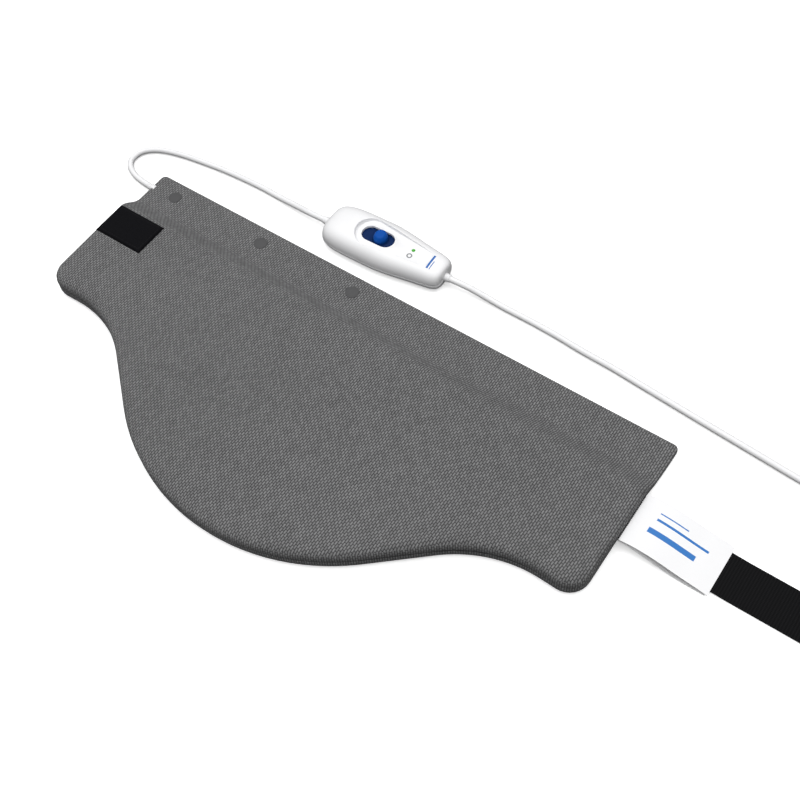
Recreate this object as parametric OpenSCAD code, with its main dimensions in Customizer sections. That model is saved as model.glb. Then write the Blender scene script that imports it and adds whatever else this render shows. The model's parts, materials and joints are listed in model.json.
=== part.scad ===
// Electric heating pad for the lower back and belly: padded cover with a press-stud
// flap, flat heater inside, waist strap, inline slide controller and mains lead.
// Origin: middle of the pad's underside. X runs along the flap, +Y to the flap, +Z up.

/* [Pad] */
// Length of the pad along the flap
pad_l = 520; // [430:10:620]
// Depth of the pad from the flap edge to the tip of the belly
pad_d = 254; // [220:1:310]
// Depth of the two straight side edges
side_d = 149; // [120:1:170]
// Thickness of the pad
pad_t = 19.4; // [17:0.2:26]
// Width of the straight front edge between each side and the flank
side_run = 32; // [24:1:40]
// How steep the flanks are, as a share of the steepest that fits
flank_steep = 0.83; // [0.65:0.01:0.95]
// Radius of the two front corners
front_r = 18; // [8:1:22]
// Radius of the two flap corners
back_r = 4; // [2:0.5:8]
// Radius of the upper rim
rim_top_r = 6; // [3:0.5:7]
// Radius of the lower rim
rim_low_r = 4; // [2:0.5:6]

/* [Flap and press studs] */
// Width of the thin flap
flap_w = 34; // [28:1:44]
// Thickness of the flap, two hems
flap_t = 5; // [4.6:0.2:6]
// Width of the ramp from the flap to the full thickness
ramp_w = 22; // [16:1:30]
// Diameter of a press-stud cap
cap_dia = 12; // [10:0.5:14]
// Thickness of a press-stud cap above the cloth
cap_t = 1.4; // [1:0.1:2]
// Distance between press studs
stud_pitch = 99; // [80:1:110]
// Distance from the left end to the first press stud
stud_end = 26.5; // [20:0.5:40]
// Distance from the flap edge to the press studs
stud_edge = 15.5; // [12:0.5:18]

/* [Cover and layers] */
// Thickness of the cover cloth
cloth_t = 1.2; // [0.8:0.1:1.6]
// Height of the seam on the side wall
seam_z = 9.6; // [8:0.1:11]
// Thickness of the inner bag foil
bag_t = 0.8; // [0.5:0.1:1]
// Thickness of the felt that carries the heating wire
felt_t = 1.4; // [1:0.1:2]
// Diameter of the heating wire
wire_d = 1.6; // [1.2:0.1:2]
// Number of heating wire runs
wire_runs = 11; // [5:2:11]
// Gap between the layers and the cover's wall
layer_gap = 9; // [8:0.5:12]

/* [Strap, label and patch] */
// Width of the waist strap
strap_w = 35; // [25:1:40]
// Length of the waist strap from the side seam
strap_l = 600; // [400:10:800]
// Thickness of the waist strap
strap_t = 1.4; // [1:0.1:2]
// Distance from the flap edge to the middle of the strap and patch
strap_edge = 72.5; // [68:0.5:80]
// Length of the label from the side seam
label_l = 69; // [50:1:80]
// Width of the label
label_w = 44; // [42:1:50]
// Thickness of one label leaf
label_t = 0.5; // [0.3:0.1:0.8]
// Length of the closing patch at the left end
patch_l = 48; // [40:1:60]
// Width of the closing patch
patch_w = 33.5; // [25:0.5:38]
// Thickness of the closing patch
patch_t = 1.6; // [1:0.1:2.4]

/* [Controller] */
// Length of the controller
ctl_l = 120; // [110:1:144]
// Width of the controller at its wide end
ctl_w = 46; // [42:1:54]
// Width of the controller at its narrow end
ctl_tail_w = 34; // [32:1:40]
// Height of the controller at its wide end
ctl_h = 24; // [23:0.2:29]
// How much lower the narrow end is
ctl_drop = 3; // [2:0.5:4]
// Height of the line between the two shells
split_z = 8.5; // [7.5:0.1:9]
// Wall of the shells
shell_t = 2; // [1.6:0.1:2.4]
// Length of the slider well
well_l = 31; // [28:0.5:36]
// Width of the slider well
well_w = 16; // [14:0.5:18]
// Length of the slider knob
knob_l = 12; // [10:0.5:14]
// Travel of the slider from off to the highest level
slide_travel = 15; // [12:0.5:15]
// Clearance between moving plastic parts
fit = 0.3; // [0.2:0.05:0.5]
// Thickness of the circuit board
pcb_t = 1.6; // [1:0.2:2]
// Diameter of the indicator lamp
led_d = 3; // [2:0.5:4]

/* [Cords and plug] */
// Diameter of both cords
cord_d = 5.6; // [5:0.1:6.8]
// Number of turns in the coil of spare cord
coil_turns = 8; // [6:1:10]
// Mean diameter of the coil
coil_dia = 62; // [56:1:68]
// Diameter of a plug pin
pin_d = 4; // [3.8:0.1:4.2]
// Length of a plug pin outside the plug
pin_l = 19; // [17:0.5:20]
// Distance between the plug pins
pin_pitch = 18.6; // [17.5:0.1:19.2]

/* [Hidden] */
$fn = 40;

// Pad outline
half_l = pad_l / 2;
half_d = pad_d / 2;
side_y = half_d - side_d;
belly_drop = pad_d - side_d;
flank_x = half_l - side_run;
flank_a = 2 * atan(belly_drop / flank_x) * flank_steep;
arc_sum = (flank_x * sin(flank_a) - belly_drop * cos(flank_a)) / (1 - cos(flank_a));
flank_share = 0.38;
flank_r = arc_sum * flank_share;
belly_r = arc_sum - flank_r;
belly_y = belly_r - half_d;
flank_y = side_y - flank_r;
corner_steps = 4;
flank_steps = 6;
belly_steps = 16;
rim_steps = 3;

// Side view: height of the top, of the seam and of the space inside at a distance along Y
function smooth(t) = let (u = min(max(t, 0), 1)) u * u * (3 - 2 * u);
function rise(y) = smooth((half_d - flap_w - y) / ramp_w);
function top_z(y) = flap_t + (pad_t - flap_t) * rise(y);
function split_pad_z(y) = flap_t / 2 + (seam_z - flap_t / 2) * rise(y);
ramp_steps = 10;
ramp_ys = [for (i = [0:ramp_steps]) half_d - flap_w - ramp_w * i / ramp_steps];
core_back = half_d - flap_w - ramp_w;
reach = half_l + 1;

// Layers, from the floor up
bag_low_z = cloth_t;
bag_top_z = pad_t - cloth_t - bag_t;
felt_z = pad_t * 0.44;
wire_z = felt_z + felt_t;
upper_z = wire_z + wire_d;
wire_pitch = 13;
wire_back = core_back - 22;
wire_half = half_l - layer_gap - 38;
therm = [14, 7, 4];
therm_x = [-half_l / 2.6, half_l / 2.6];
fuse_d = 3.2;
fuse_l = 14;
splice = [26, 12, 5];
splice_x = -half_l + layer_gap + 30;
splice_y = core_back - 2 - splice[1] / 2;

// Press studs
stud_y = half_d - stud_edge;
stud_xs = [for (i = [0:2]) -half_l + stud_end + stud_pitch * i];
shank_d = 3;
socket_d = 9;
socket_t = 1.3;
back_t = 1.2;
stud_gap = 0.1;

// Lead at the flap's left end
lead_y = stud_y - 0.5;
lead_z = cord_d / 2 + 0.3;
clamp = [10, 9, 2.6];
clamp_z = flap_t / 2 - clamp[2] / 2;
lead_out = 5;
core_w = 2.6;
core_t = 1.6;
core_x = -half_l + clamp[0] + 2;
core_z = flap_t / 2 - core_t / 2;
core_turn_y = core_back + 4;
core_top = wire_z + 2;

// Strap and label
strap_y = half_d - strap_edge;
seam_off = 2.6;
seam_x = half_l + seam_off;
strap_seam_z = seam_z;
drop_l = 52;
strap_low_z = label_t + strap_t / 2 + 0.15;
strap_floor_z = strap_t / 2 + 0.05;
leaf_gap = 0.05;
label_arch = 2.5;
hook_l = 60;
stitch_t = 0.3;

function strap_z(x) = let (
    s = (x - seam_x) / drop_l,
    low = strap_floor_z + (strap_low_z - strap_floor_z) * (1 - smooth((x - seam_x - label_l) / 16))
) low + (strap_seam_z - low) * (1 - smooth(s));
function under_z(x) = strap_z(x) - strap_t / 2 - leaf_gap - label_t / 2;
function over_z(x) = strap_z(x) + strap_t / 2 + leaf_gap + label_t / 2
    + label_arch * sin(180 * (x - seam_x) / label_l);

// Controller: its own frame has X along the body from the wide to the narrow end
ctl_at = [-37, half_d + 36.2, 0];
ctl_turn = 2;
ctl_half = ctl_l / 2;
floor_top = ctl_h - 4;
floor_t = 2;
recess_r = 15;
recess_tail_r = 8.5;
recess_x = -13;
recess_tail_x = ctl_half - 22;
well_x = -7;
knob_x = well_x + slide_travel / 6;
knob_top = ctl_h + 2;
plate_t = 1.6;
plate_top = floor_top - floor_t - fit;
plate_l = well_l + slide_travel + 1;
plate_w = well_w + 4;
pcb_z = split_z - 2.5;
pcb_top = pcb_z + pcb_t;
pcb_l = ctl_l - 36;
pcb_w = ctl_tail_w - 10;
led_at = [27, 2.5];
post_xs = [-ctl_half + 12, ctl_half - 12];
post_d = 6;
screw_d = 2.6;
head_d = 4.6;
head_t = 1.8;
head_z = 2.6;
screw_up = 6;
bushing_z = split_z;
bushing_d = cord_d + 3;
bushing_in = 12;
bushing_out = 8;
switch_top = plate_top - plate_t - 1.9;
switch_size = [30, 10];
triac_size = [4, 7, 7];
sink_size = [1.2, 8, 7];
power_x = 12;
capacitor_size = [11, 6, 7];
inlet_x = -35;
link_l = 12;
link_d = 4.4;
resistor_l = 6.5;
resistor_d = 2.4;
terminal_size = [6, 10, 5];
lever_w = 2.4;
lever_dip = 1.5;
ctl_stations = 14;
ctl_levels = 5;
// How full the body's cross-section is towards the crown, the base and the sides
crown_power = 0.8;
base_power = 0.62;
plan_power = 0.66;

// Half width, crown height and base depth of the controller along its length
function end_round(x, half, n) = pow(max(1 - pow(abs(x) / half, n), 0), 1 / n);
function ctl_half_w(x, t) = let (
    half = ctl_half - t,
    w = ctl_w / 2 - t - (ctl_w - ctl_tail_w) / 2 * smooth((x + 4) / 56)
) w * end_round(x, half, 6);
function ctl_up(x, t) = let (
    half = ctl_half - t,
    h = ctl_h - split_z - t - ctl_drop * smooth((x + 8) / 60)
) h * end_round(x, half, 7);
function ctl_low(x, t) = (split_z - t) * end_round(x, ctl_half - t, 9);
// Stations crowd towards both ends, where the body curves most
function ctl_station(i, t) = -cos(180 * (i + 0.5) / (ctl_stations + 1)) * (ctl_half - t);
function ctl_xs(t) = [for (i = [0:ctl_stations]) ctl_station(i, t)];
// Plan of one level, its width a share of the full width
function ctl_plan(t, share) = concat(
    [for (x = ctl_xs(t)) [x, -share * ctl_half_w(x, t)]],
    [for (x = ctl_xs(t)) [-x, share * ctl_half_w(-x, t)]]
);
function ctl_side(t) = concat(
    [for (x = ctl_xs(t)) [x, split_z - ctl_low(x, t)]],
    [for (x = ctl_xs(t)) [-x, split_z + ctl_up(-x, t)]]
);

// Hand-laid routes of the cord's middle, from one fixed end to the other
floor_z = cord_d / 2 + 0.1;
lead_route = [
    [-half_l - lead_out, lead_y, lead_z], [-275, 112, 3.0], [-285, 114, floor_z],
    [-295, 119, floor_z], [-301, 127, floor_z], [-300, 137, floor_z], [-292, 144, floor_z],
    [-280, 149, floor_z], [-262, 153, floor_z], [-242, 156, floor_z], [-220, 159, floor_z],
    [-198, 161, floor_z], [-176, 162, floor_z], [-154, 162, 3.2], [-132, 161.5, 5.6],
    [-118, 160.8, 7.8], [-104.5, 160.8, split_z]
];
mains_route = [
    [30.5, 165.6, split_z], [46, 167, 7.4], [62, 168, 4.6], [80, 168, 3.1],
    [104, 168, floor_z], [130, 167, floor_z], [156, 165, floor_z], [182, 164, floor_z],
    [208, 162, floor_z], [234, 160, floor_z], [260, 158, floor_z], [288, 156, floor_z],
    [316, 154, floor_z], [344, 152, floor_z], [372, 151, floor_z], [396, 150, floor_z],
    [414, 150, floor_z]
];
coil_r = coil_dia / 2;
coil_at = [430, 150 - coil_r];
coil_h = coil_turns * cord_d;
plug_at = [566, 152];
plug_h = 14;
plug_z = plug_h / 2 + 0.1;
relief_l = 30;
tail_route = [
    [446, 150, coil_h - cord_d / 2], [462, 151, 36], [480, 152, 27], [498, 152, 18],
    [516, 152, 11], [536, 152, plug_z]
];
cord_sides = 10;
plug_l = 34;
plug_w = 35;
relief_d = 11;
sleeve_l = 10;
neck_d = pin_d - 0.8;
root_l = 12;
root_d = pin_d + 0.6;

cloth_grey = [0.42, 0.42, 0.43];
white_plastic = [0.93, 0.93, 0.92];
blue_plastic = [0.02, 0.28, 0.62];
black_web = [0.06, 0.06, 0.065];
wadding_white = [0.88, 0.88, 0.84];
foil_clear = [0.8, 0.84, 0.86];
felt_cream = [0.86, 0.82, 0.7];
metal = [0.75, 0.75, 0.77];

// ---------- shared shapes ----------

// Faces of a stack of closed rings with a cap at each end
function loft_faces(rings, sides) = concat(
    [[for (k = [0:sides - 1]) sides - 1 - k]],
    [
        for (i = [0:rings - 2]) for (k = [0:sides - 1]) for (half = [0, 1])
            let (a = i * sides + k, b = i * sides + (k + 1) % sides)
                half == 0 ? [a, b, b + sides] : [a, b + sides, a + sides]
    ],
    [[for (k = [0:sides - 1]) (rings - 1) * sides + k]]
);

function arc(cx, cy, r, a0, a1, steps) = [
    for (i = [0:steps]) let (a = a0 + (a1 - a0) * i / steps) [cx + r * cos(a), cy + r * sin(a)]
];

// The pad's outline moved inwards by ins, anticlockwise from the right end of the flap
function outline(ins) = let (
    br = max(back_r - ins, 0.5),
    fr = max(front_r - ins, 0.5),
    edge_x = half_l - ins
) concat(
    arc(edge_x - br, half_d - ins - br, br, 0, 90, corner_steps),
    arc(br - edge_x, half_d - ins - br, br, 90, 180, corner_steps),
    arc(fr - edge_x, side_y + ins + fr, fr, 180, 270, corner_steps),
    arc(-flank_x, flank_y, flank_r + ins, 90, 90 - flank_a, flank_steps),
    arc(0, belly_y, belly_r - ins, 270 - flank_a, 270 + flank_a, belly_steps),
    arc(flank_x, flank_y, flank_r + ins, 90 + flank_a, 90, flank_steps),
    arc(edge_x - fr, side_y + ins + fr, fr, 270, 360, corner_steps)
);

module slab(ins, z0, z1) {
    translate([0, 0, z0]) linear_extrude(z1 - z0) polygon(outline(ins));
}

// Prism over the pad's outline with both rims stepped round, moved inwards by ins
module rounded_prism(ins) {
    slab(ins, ins + rim_low_r, pad_t - ins - rim_top_r);
    for (i = [1:rim_steps]) {
        a = 90 * i / rim_steps;
        slab(ins + rim_low_r * (1 - cos(a)), ins + rim_low_r * (1 - sin(a)), ins + rim_low_r);
        slab(ins + rim_top_r * (1 - cos(a)), pad_t - ins - rim_top_r,
            pad_t - ins - rim_top_r * (1 - sin(a)));
    }
}

// Solid with a side view given as a polygon in Y and Z, running the whole length
module side_view(points) {
    rotate([90, 0, 90]) translate([0, 0, -reach]) linear_extrude(2 * reach) polygon(points);
}

function under_curve(top) = concat(
    [[-half_d - 1, -1], [half_d + 1, -1], [half_d + 1, top[0][1]]],
    top, [[-half_d - 1, top[len(top) - 1][1]]]
);

module pad_solid() {
    intersection() {
        rounded_prism(0);
        side_view(under_curve([for (y = ramp_ys) [y, top_z(y)]]));
    }
}

module pad_space() {
    intersection() {
        rounded_prism(cloth_t);
        side_view(concat(
            [[-half_d - 1, cloth_t], [half_d - flap_w, cloth_t]],
            [for (y = ramp_ys) [y, top_z(y) - cloth_t]],
            [[-half_d - 1, pad_t - cloth_t]]
        ));
    }
}

module below_seam() {
    side_view(under_curve([for (y = ramp_ys) [y, split_pad_z(y)]]));
}

// Flat layer inside the cover from z0, t thick, ending at the ramp
module layer(z0, t, ins) {
    intersection() {
        slab(ins, z0, z0 + t);
        translate([-reach, -reach, z0 - 1]) cube([2 * reach, reach + core_back - 2, t + 2]);
    }
}

module at_studs() {
    for (x = stud_xs) translate([x, stud_y, 0]) children();
}

module disc(z0, t, d) {
    translate([0, 0, z0]) cylinder(h = t, d = d);
}

// Pocket in the flap for the lead's clamp and its flat cores
module lead_pocket() {
    gap = 0.1;
    translate([-half_l - 1, lead_y - clamp[1] / 2 - gap, clamp_z - gap])
        cube([clamp[0] + 1 + gap, clamp[1] + 2 * gap, clamp[2] + 2 * gap]);
    translate([-half_l + clamp[0] - 1, core_back, core_z - gap])
        cube([2 + core_w + 2 * gap + 1, lead_y - core_back + core_w / 2 + gap, core_t + 2 * gap]);
}

// Ribbon of constant thickness along X, its middle height given by points [x, z]
module ribbon(mid, t, y, w) {
    translate([0, y + w / 2, 0]) rotate([90, 0, 0]) linear_extrude(w) polygon(concat(
        [for (p = mid) [p[0], p[1] - t / 2]],
        [for (i = [len(mid) - 1:-1:0]) [mid[i][0], mid[i][1] + t / 2]]
    ));
}

module at_controller() {
    translate(ctl_at) rotate(ctl_turn) children();
}

// Controller body moved inwards by t: nested levels, each narrower and taller than the last.
// The space inside steps in one level sooner, so that the shell stays whole at each step.
module ctl_solid(t) {
    intersection() {
        for (i = [0:ctl_levels - (t > 0 ? 2 : 1)]) {
            a1 = 90 * (i + 1) / ctl_levels;
            at = t > 0 ? a1 : 90 * (i + 0.5) / ctl_levels;
            up = (ctl_h - split_z - t) * pow(sin(a1), crown_power);
            low = (split_z - t) * pow(sin(a1), base_power);
            translate([0, 0, split_z - low]) linear_extrude(low + up)
                polygon(ctl_plan(t, pow(cos(at), plan_power)));
        }
        translate([0, ctl_w, 0]) rotate([90, 0, 0]) linear_extrude(2 * ctl_w)
            polygon(ctl_side(t));
    }
}

module above_split(up) {
    translate([-ctl_l, -ctl_l, up ? split_z : split_z - ctl_l]) cube([2 * ctl_l, 2 * ctl_l, ctl_l]);
}

module ctl_bushing_holes() {
    translate([-ctl_half - 5, 0, bushing_z]) rotate([0, 90, 0])
        cylinder(h = ctl_l + 10, d = bushing_d);
}

module stadium(l, w, h) {
    linear_extrude(h) union() {
        square([l - w, w], center = true);
        for (s = [-1, 1]) translate([s * (l - w) / 2, 0]) circle(d = w);
    }
}

// Smooth curve through the route's points
function spline(p0, p1, p2, p3, t) = 0.5 * (2 * p1 + (p2 - p0) * t
    + (2 * p0 - 5 * p1 + 4 * p2 - p3) * t * t + (3 * p1 - p0 - 3 * p2 + p3) * t * t * t);
function route_curve(pts, per) = let (n = len(pts)) concat(
    [for (i = [0:n - 2]) for (s = [0:per - 1])
        spline(pts[max(i - 1, 0)], pts[i], pts[i + 1], pts[min(i + 2, n - 1)], s / per)],
    [pts[n - 1]]
);
function unit(v) = v / norm(v);
function ring_at(p, dir, r) = let (
    side = unit(cross([0, 0, 1], dir)),
    up = cross(dir, side)
) [for (k = [0:cord_sides - 1]) let (a = 360 * (k + 0.5) / cord_sides)
    p + r * (cos(a) * side + sin(a) * up)];

module tube(pts, per) {
    c = route_curve(pts, per);
    n = len(c);
    rings = [for (i = [0:n - 1])
        ring_at(c[i], unit(c[min(i + 1, n - 1)] - c[max(i - 1, 0)]), cord_d / 2)];
    polyhedron([for (r = rings) for (p = r) p], loft_faces(n, cord_sides));
}

// ---------- pad cover ----------

module cover_top() {
    color(cloth_grey) difference() {
        pad_solid();
        pad_space();
        below_seam();
        at_studs() {
            disc(flap_t / 2 - 1, socket_t + 1, socket_d + 2 * stud_gap);
            disc(0, flap_t + 1, shank_d + 2 * stud_gap);
        }
        lead_pocket();
    }
}

module cover_bottom() {
    color(cloth_grey) difference() {
        intersection() {
            pad_solid();
            below_seam();
        }
        pad_space();
        at_studs() disc(-1, flap_t, socket_d + 2 * stud_gap);
        lead_pocket();
    }
}

// Seam allowance sewn flat inside the wall
module cover_seam() {
    allowance = 5;
    seam_t = 1;
    color(cloth_grey) difference() {
        layer(seam_z - seam_t / 2, seam_t, cloth_t + 0.1);
        slab(cloth_t + allowance, seam_z - seam_t, seam_z + seam_t);
        translate([-reach, core_back - 8, 0]) cube([2 * reach, reach, pad_t]);
    }
}

module snap_caps() {
    color(cloth_grey) at_studs() {
        disc(flap_t, cap_t - 0.4, cap_dia);
        translate([0, 0, flap_t + cap_t - 0.4]) cylinder(h = 0.4, d1 = cap_dia, d2 = cap_dia - 2);
        disc(flap_t / 2 + socket_t, flap_t / 2 - socket_t, shank_d);
    }
}

module snap_sockets() {
    color(metal) at_studs() difference() {
        disc(flap_t / 2, socket_t, socket_d);
        disc(flap_t / 2 - 1, socket_t + 0.7, shank_d + 0.8);
    }
}

module snap_studs() {
    color(metal) at_studs() {
        disc(back_t, flap_t / 2 - back_t, socket_d);
        disc(flap_t / 2, socket_t - 0.5, shank_d + 0.6);
    }
}

module snap_back_caps() {
    color(metal) at_studs() disc(0, back_t, socket_d);
}

// ---------- heater ----------

module inner_bag_top() {
    color(foil_clear) layer(bag_top_z, bag_t, layer_gap);
}

module inner_bag_bottom() {
    color(foil_clear) layer(bag_low_z, bag_t, layer_gap);
}

module therm_places() {
    for (x = therm_x) translate([x, wire_back - wire_pitch / 2, wire_z]) children();
}

module wadding_upper() {
    color(wadding_white) difference() {
        layer(upper_z, bag_top_z - upper_z, layer_gap);
        therm_places() translate([-therm[0] / 2, -therm[1] / 2, 0])
            cube([therm[0], therm[1], therm[2]]);
        splice_cut();
        fuse_cut();
    }
}

module wadding_lower() {
    color(wadding_white) layer(bag_low_z + bag_t, felt_z - bag_low_z - bag_t, layer_gap);
}

module carrier_felt() {
    color(felt_cream) layer(felt_z, felt_t, layer_gap);
}

// Half length of one wire run at y, kept inside the belly
function belly_half(y) = let (
    dy = y - belly_y,
    r = belly_r - layer_gap - 22
) dy < 0 && y < side_y + 25 ? sqrt(max(r * r - dy * dy, 0)) : wire_half;
function run_half(i) = min(belly_half(wire_back - wire_pitch * i), wire_half);
function run_pair(i) = min(run_half(i), run_half(i + 1));

// Heating wire laid in runs on the felt, each joined to the next by a bend
module heating_wire() {
    color("firebrick") translate([0, 0, wire_z]) linear_extrude(wire_d) for (i = [0:wire_runs - 1]) {
        y = wire_back - wire_pitch * i;
        left = i == 0 ? -run_pair(0) : -run_pair(i % 2 == 0 ? i - 1 : i);
        right = i == wire_runs - 1 ? run_pair(i - 1) : run_pair(i % 2 == 0 ? i : i - 1);
        translate([left, y - wire_d / 2]) square([right - left, wire_d]);
        if (i == 0) translate([left, y]) square([wire_d, splice_y - splice[1] / 2 - y]);
        if (i < wire_runs - 1)
            translate([i % 2 == 0 ? right : left, y - wire_pitch / 2]) bend(i % 2 == 0 ? 1 : -1);
    }
}

module bend(side) {
    intersection() {
        difference() {
            circle(d = wire_pitch + wire_d);
            circle(d = wire_pitch - wire_d);
        }
        translate([side > 0 ? 0 : -wire_pitch, -wire_pitch]) square([wire_pitch, 2 * wire_pitch]);
    }
}

module thermostats() {
    color(metal) therm_places() translate([-therm[0] / 2 + 0.1, -therm[1] / 2 + 0.1, 0])
        cube([therm[0] - 0.2, therm[1] - 0.2, therm[2] - 0.1]);
}

module fuse_cut() {
    translate([0, wire_back - wire_pitch / 2, wire_z + fuse_d / 2]) rotate([0, 90, 0])
        cylinder(h = fuse_l + 1, d = fuse_d + 0.2, center = true);
}

module thermal_fuse() {
    color("tan") translate([0, wire_back - wire_pitch / 2, wire_z + fuse_d / 2]) rotate([0, 90, 0])
        cylinder(h = fuse_l, d = fuse_d, center = true);
}

module splice_cut() {
    translate([splice_x - splice[0] / 2 - 0.1, splice_y - splice[1] / 2 - 0.1, wire_z])
        cube([splice[0] + 0.2, splice[1] + 0.2, splice[2] + 0.1]);
}

module splice_block() {
    color(white_plastic) translate([splice_x - splice[0] / 2, splice_y - splice[1] / 2, wire_z])
        cube(splice);
}

// The lead's flat cores: along the flap, up beside the ramp and across to the splice
module inner_lead() {
    splice_end = [splice_x - splice[0] / 2 + 4, core_turn_y];
    color(white_plastic) {
        translate([-half_l + clamp[0], lead_y - core_w / 2, core_z])
            cube([2 + core_w, core_w, core_t]);
        translate([core_x, core_turn_y, core_z]) cube([core_w, lead_y - core_turn_y, core_t]);
        translate([core_x, core_turn_y, core_z]) cube([core_w, core_t, core_top - core_z]);
        translate([core_x, core_turn_y, core_top - core_t])
            cube([splice_end[0] - core_x + core_w, core_t, core_t]);
        translate([splice_end[0], splice_y + splice[1] / 2, core_top - core_t])
            cube([core_w, core_turn_y - splice_y - splice[1] / 2, core_t]);
    }
}

module lead_grommet() {
    color(white_plastic) {
        translate([-half_l - lead_out, lead_y, lead_z]) rotate([0, 90, 0])
            cylinder(h = lead_out, d = cord_d + 0.4);
        translate([-half_l, lead_y - clamp[1] / 2, clamp_z]) cube(clamp);
    }
}

// ---------- patch, strap and label ----------

module closing_patch() {
    color(black_web) translate([-half_l + 6, strap_y - patch_w / 2, pad_t])
        cube([patch_l, patch_w, patch_t]);
}

module patch_stitching() {
    inset = 4;
    color(black_web) for (s = [-1, 1])
        translate([-half_l + 6 + inset, strap_y + s * (patch_w / 2 - inset) - 0.4, pad_t + patch_t])
            cube([patch_l - 2 * inset, 0.8, stitch_t]);
}

// Bar tack that holds the strap and label at the side seam
module strap_anchor() {
    color(black_web) translate([half_l, strap_y - label_w / 2, seam_z - 0.8])
        cube([1, label_w, 1.6]);
}

module strap_band() {
    steps = 16;
    bend_l = label_l + 18;
    color(black_web) ribbon(concat(
        [for (i = [0:steps]) let (x = seam_x + bend_l * i / steps) [x, strap_z(x)]],
        [[seam_x + strap_l, strap_floor_z]]
    ), strap_t, strap_y, strap_w);
}

module strap_closing_tab() {
    color(black_web) translate([seam_x + strap_l - hook_l, strap_y - strap_w / 2 + 1,
        strap_floor_z + strap_t / 2]) cube([hook_l - 2, strap_w - 2, 1.5]);
}

module strap_stitching() {
    color(black_web) for (x = [seam_x + strap_l - hook_l - 4, seam_x + strap_l - hook_l - 8])
        translate([x, strap_y - strap_w / 2 + 2, strap_floor_z + strap_t / 2])
            cube([0.8, strap_w - 4, stitch_t]);
}

module label_upper_leaf() {
    steps = 16;
    color("white") ribbon([for (i = [0:steps]) let (x = seam_x + label_l * i / steps)
        [x, over_z(x)]], label_t, strap_y, label_w);
}

module label_lower_leaf() {
    steps = 16;
    color("white") ribbon([for (i = [0:steps]) let (x = seam_x + (label_l - 2) * i / steps)
        [x, under_z(x)]], label_t, strap_y, label_w);
}

// ---------- controller ----------

// Outline of the recessed panel around the slider, grown by g: two circles and their tangents
module recess_shape(g) {
    r1 = recess_r + g;
    r2 = recess_tail_r + g;
    tilt = asin((r1 - r2) / (recess_tail_x - recess_x));
    translate([recess_x, 0]) circle(r = r1);
    translate([recess_tail_x, 0]) circle(r = r2);
    polygon([for (v = [[recess_x, r1, 1], [recess_x, r1, -1], [recess_tail_x, r2, -1],
        [recess_tail_x, r2, 1]]) [v[0] + v[1] * sin(tilt), v[2] * v[1] * cos(tilt)]]);
}

function post_y(x) = ctl_half_w(x, shell_t) - post_d / 2 - 1;

module screw_posts(d, z0, z1) {
    for (x = post_xs) for (s = [-1, 1])
        translate([x, s * post_y(x), z0]) cylinder(h = z1 - z0, d = d);
}

module upper_shell() {
    color(white_plastic) at_controller() difference() {
        intersection() {
            ctl_solid(0);
            above_split(true);
        }
        difference() {
            ctl_solid(shell_t);
            translate([0, 0, floor_top - floor_t]) linear_extrude(ctl_h) recess_shape(shell_t);
            screw_posts(post_d, split_z, ctl_h);
        }
        translate([0, 0, floor_top]) linear_extrude(ctl_h) recess_shape(0);
        translate([well_x, 0, floor_top - floor_t - 1]) stadium(well_l, well_w, floor_t + 2);
        translate([led_at[0], led_at[1], floor_top - floor_t - 1])
            cylinder(h = floor_t + 2, d = led_d + fit);
        screw_posts(screw_d, split_z - 1, split_z + screw_up);
        ctl_bushing_holes();
    }
}

module lower_shell() {
    color(white_plastic) at_controller() difference() {
        intersection() {
            ctl_solid(0);
            above_split(false);
        }
        difference() {
            ctl_solid(shell_t);
            screw_posts(post_d, 0, split_z + 1);
            for (s = [-1, 1])
                translate([s * (pcb_l / 2 - 6) - 2, -4, 0]) cube([4, 8, pcb_z]);
        }
        screw_posts(screw_d, -1, split_z + 1);
        screw_posts(head_d + fit, -1, head_z);
        ctl_bushing_holes();
    }
}

module slider_button() {
    color(blue_plastic) at_controller() {
        translate([knob_x, 0, plate_top - plate_t]) stadium(plate_l, plate_w, plate_t);
        translate([knob_x, 0, plate_top]) cylinder(h = knob_top - 1.5 - plate_top, d = knob_l);
        translate([knob_x, 0, knob_top - 1.5]) cylinder(h = 1.5, d1 = knob_l, d2 = knob_l - 3);
        for (s = [-1, 1]) translate([knob_x + s * (lever_w / 2 + 0.9) - 0.9, -1.5,
            plate_top - plate_t - 1.4]) cube([1.8, 3, 1.4]);
    }
}

module switch_lever() {
    lever_z = switch_top - lever_dip;
    color("dimgray") at_controller() translate([knob_x - lever_w / 2, -1.5, lever_z])
        cube([lever_w, 3, plate_top - plate_t - lever_z]);
}

module switch_body() {
    color("dimgray") at_controller() difference() {
        translate([well_x - switch_size[0] / 2, -switch_size[1] / 2, pcb_top])
            cube([switch_size[0], switch_size[1], switch_top - pcb_top]);
        translate([well_x - (slide_travel + lever_w) / 2 - fit, -1.5 - fit,
            switch_top - lever_dip - fit])
            cube([slide_travel + lever_w + 2 * fit, 3 + 2 * fit, lever_dip + 1]);
    }
}

module circuit_board() {
    color("darkgreen") at_controller() translate([-pcb_l / 2, -pcb_w / 2, pcb_z])
        cube([pcb_l, pcb_w, pcb_t]);
}

module indicator_led() {
    color("limegreen") at_controller() {
        translate([led_at[0], led_at[1], pcb_top]) cylinder(h = floor_top - pcb_top - 0.2, d = led_d);
        translate([led_at[0], led_at[1], floor_top - 5]) cylinder(h = 1, d = led_d + 1);
    }
}

module triac() {
    color([0.12, 0.12, 0.12]) at_controller() translate([power_x, 4, pcb_top]) cube(triac_size);
}

module heat_sink() {
    color(metal) at_controller() translate([power_x + triac_size[0], 3, pcb_top]) cube(sink_size);
}

module capacitor() {
    color("goldenrod") at_controller() translate([inlet_x, -7, pcb_top]) cube(capacitor_size);
}

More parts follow.
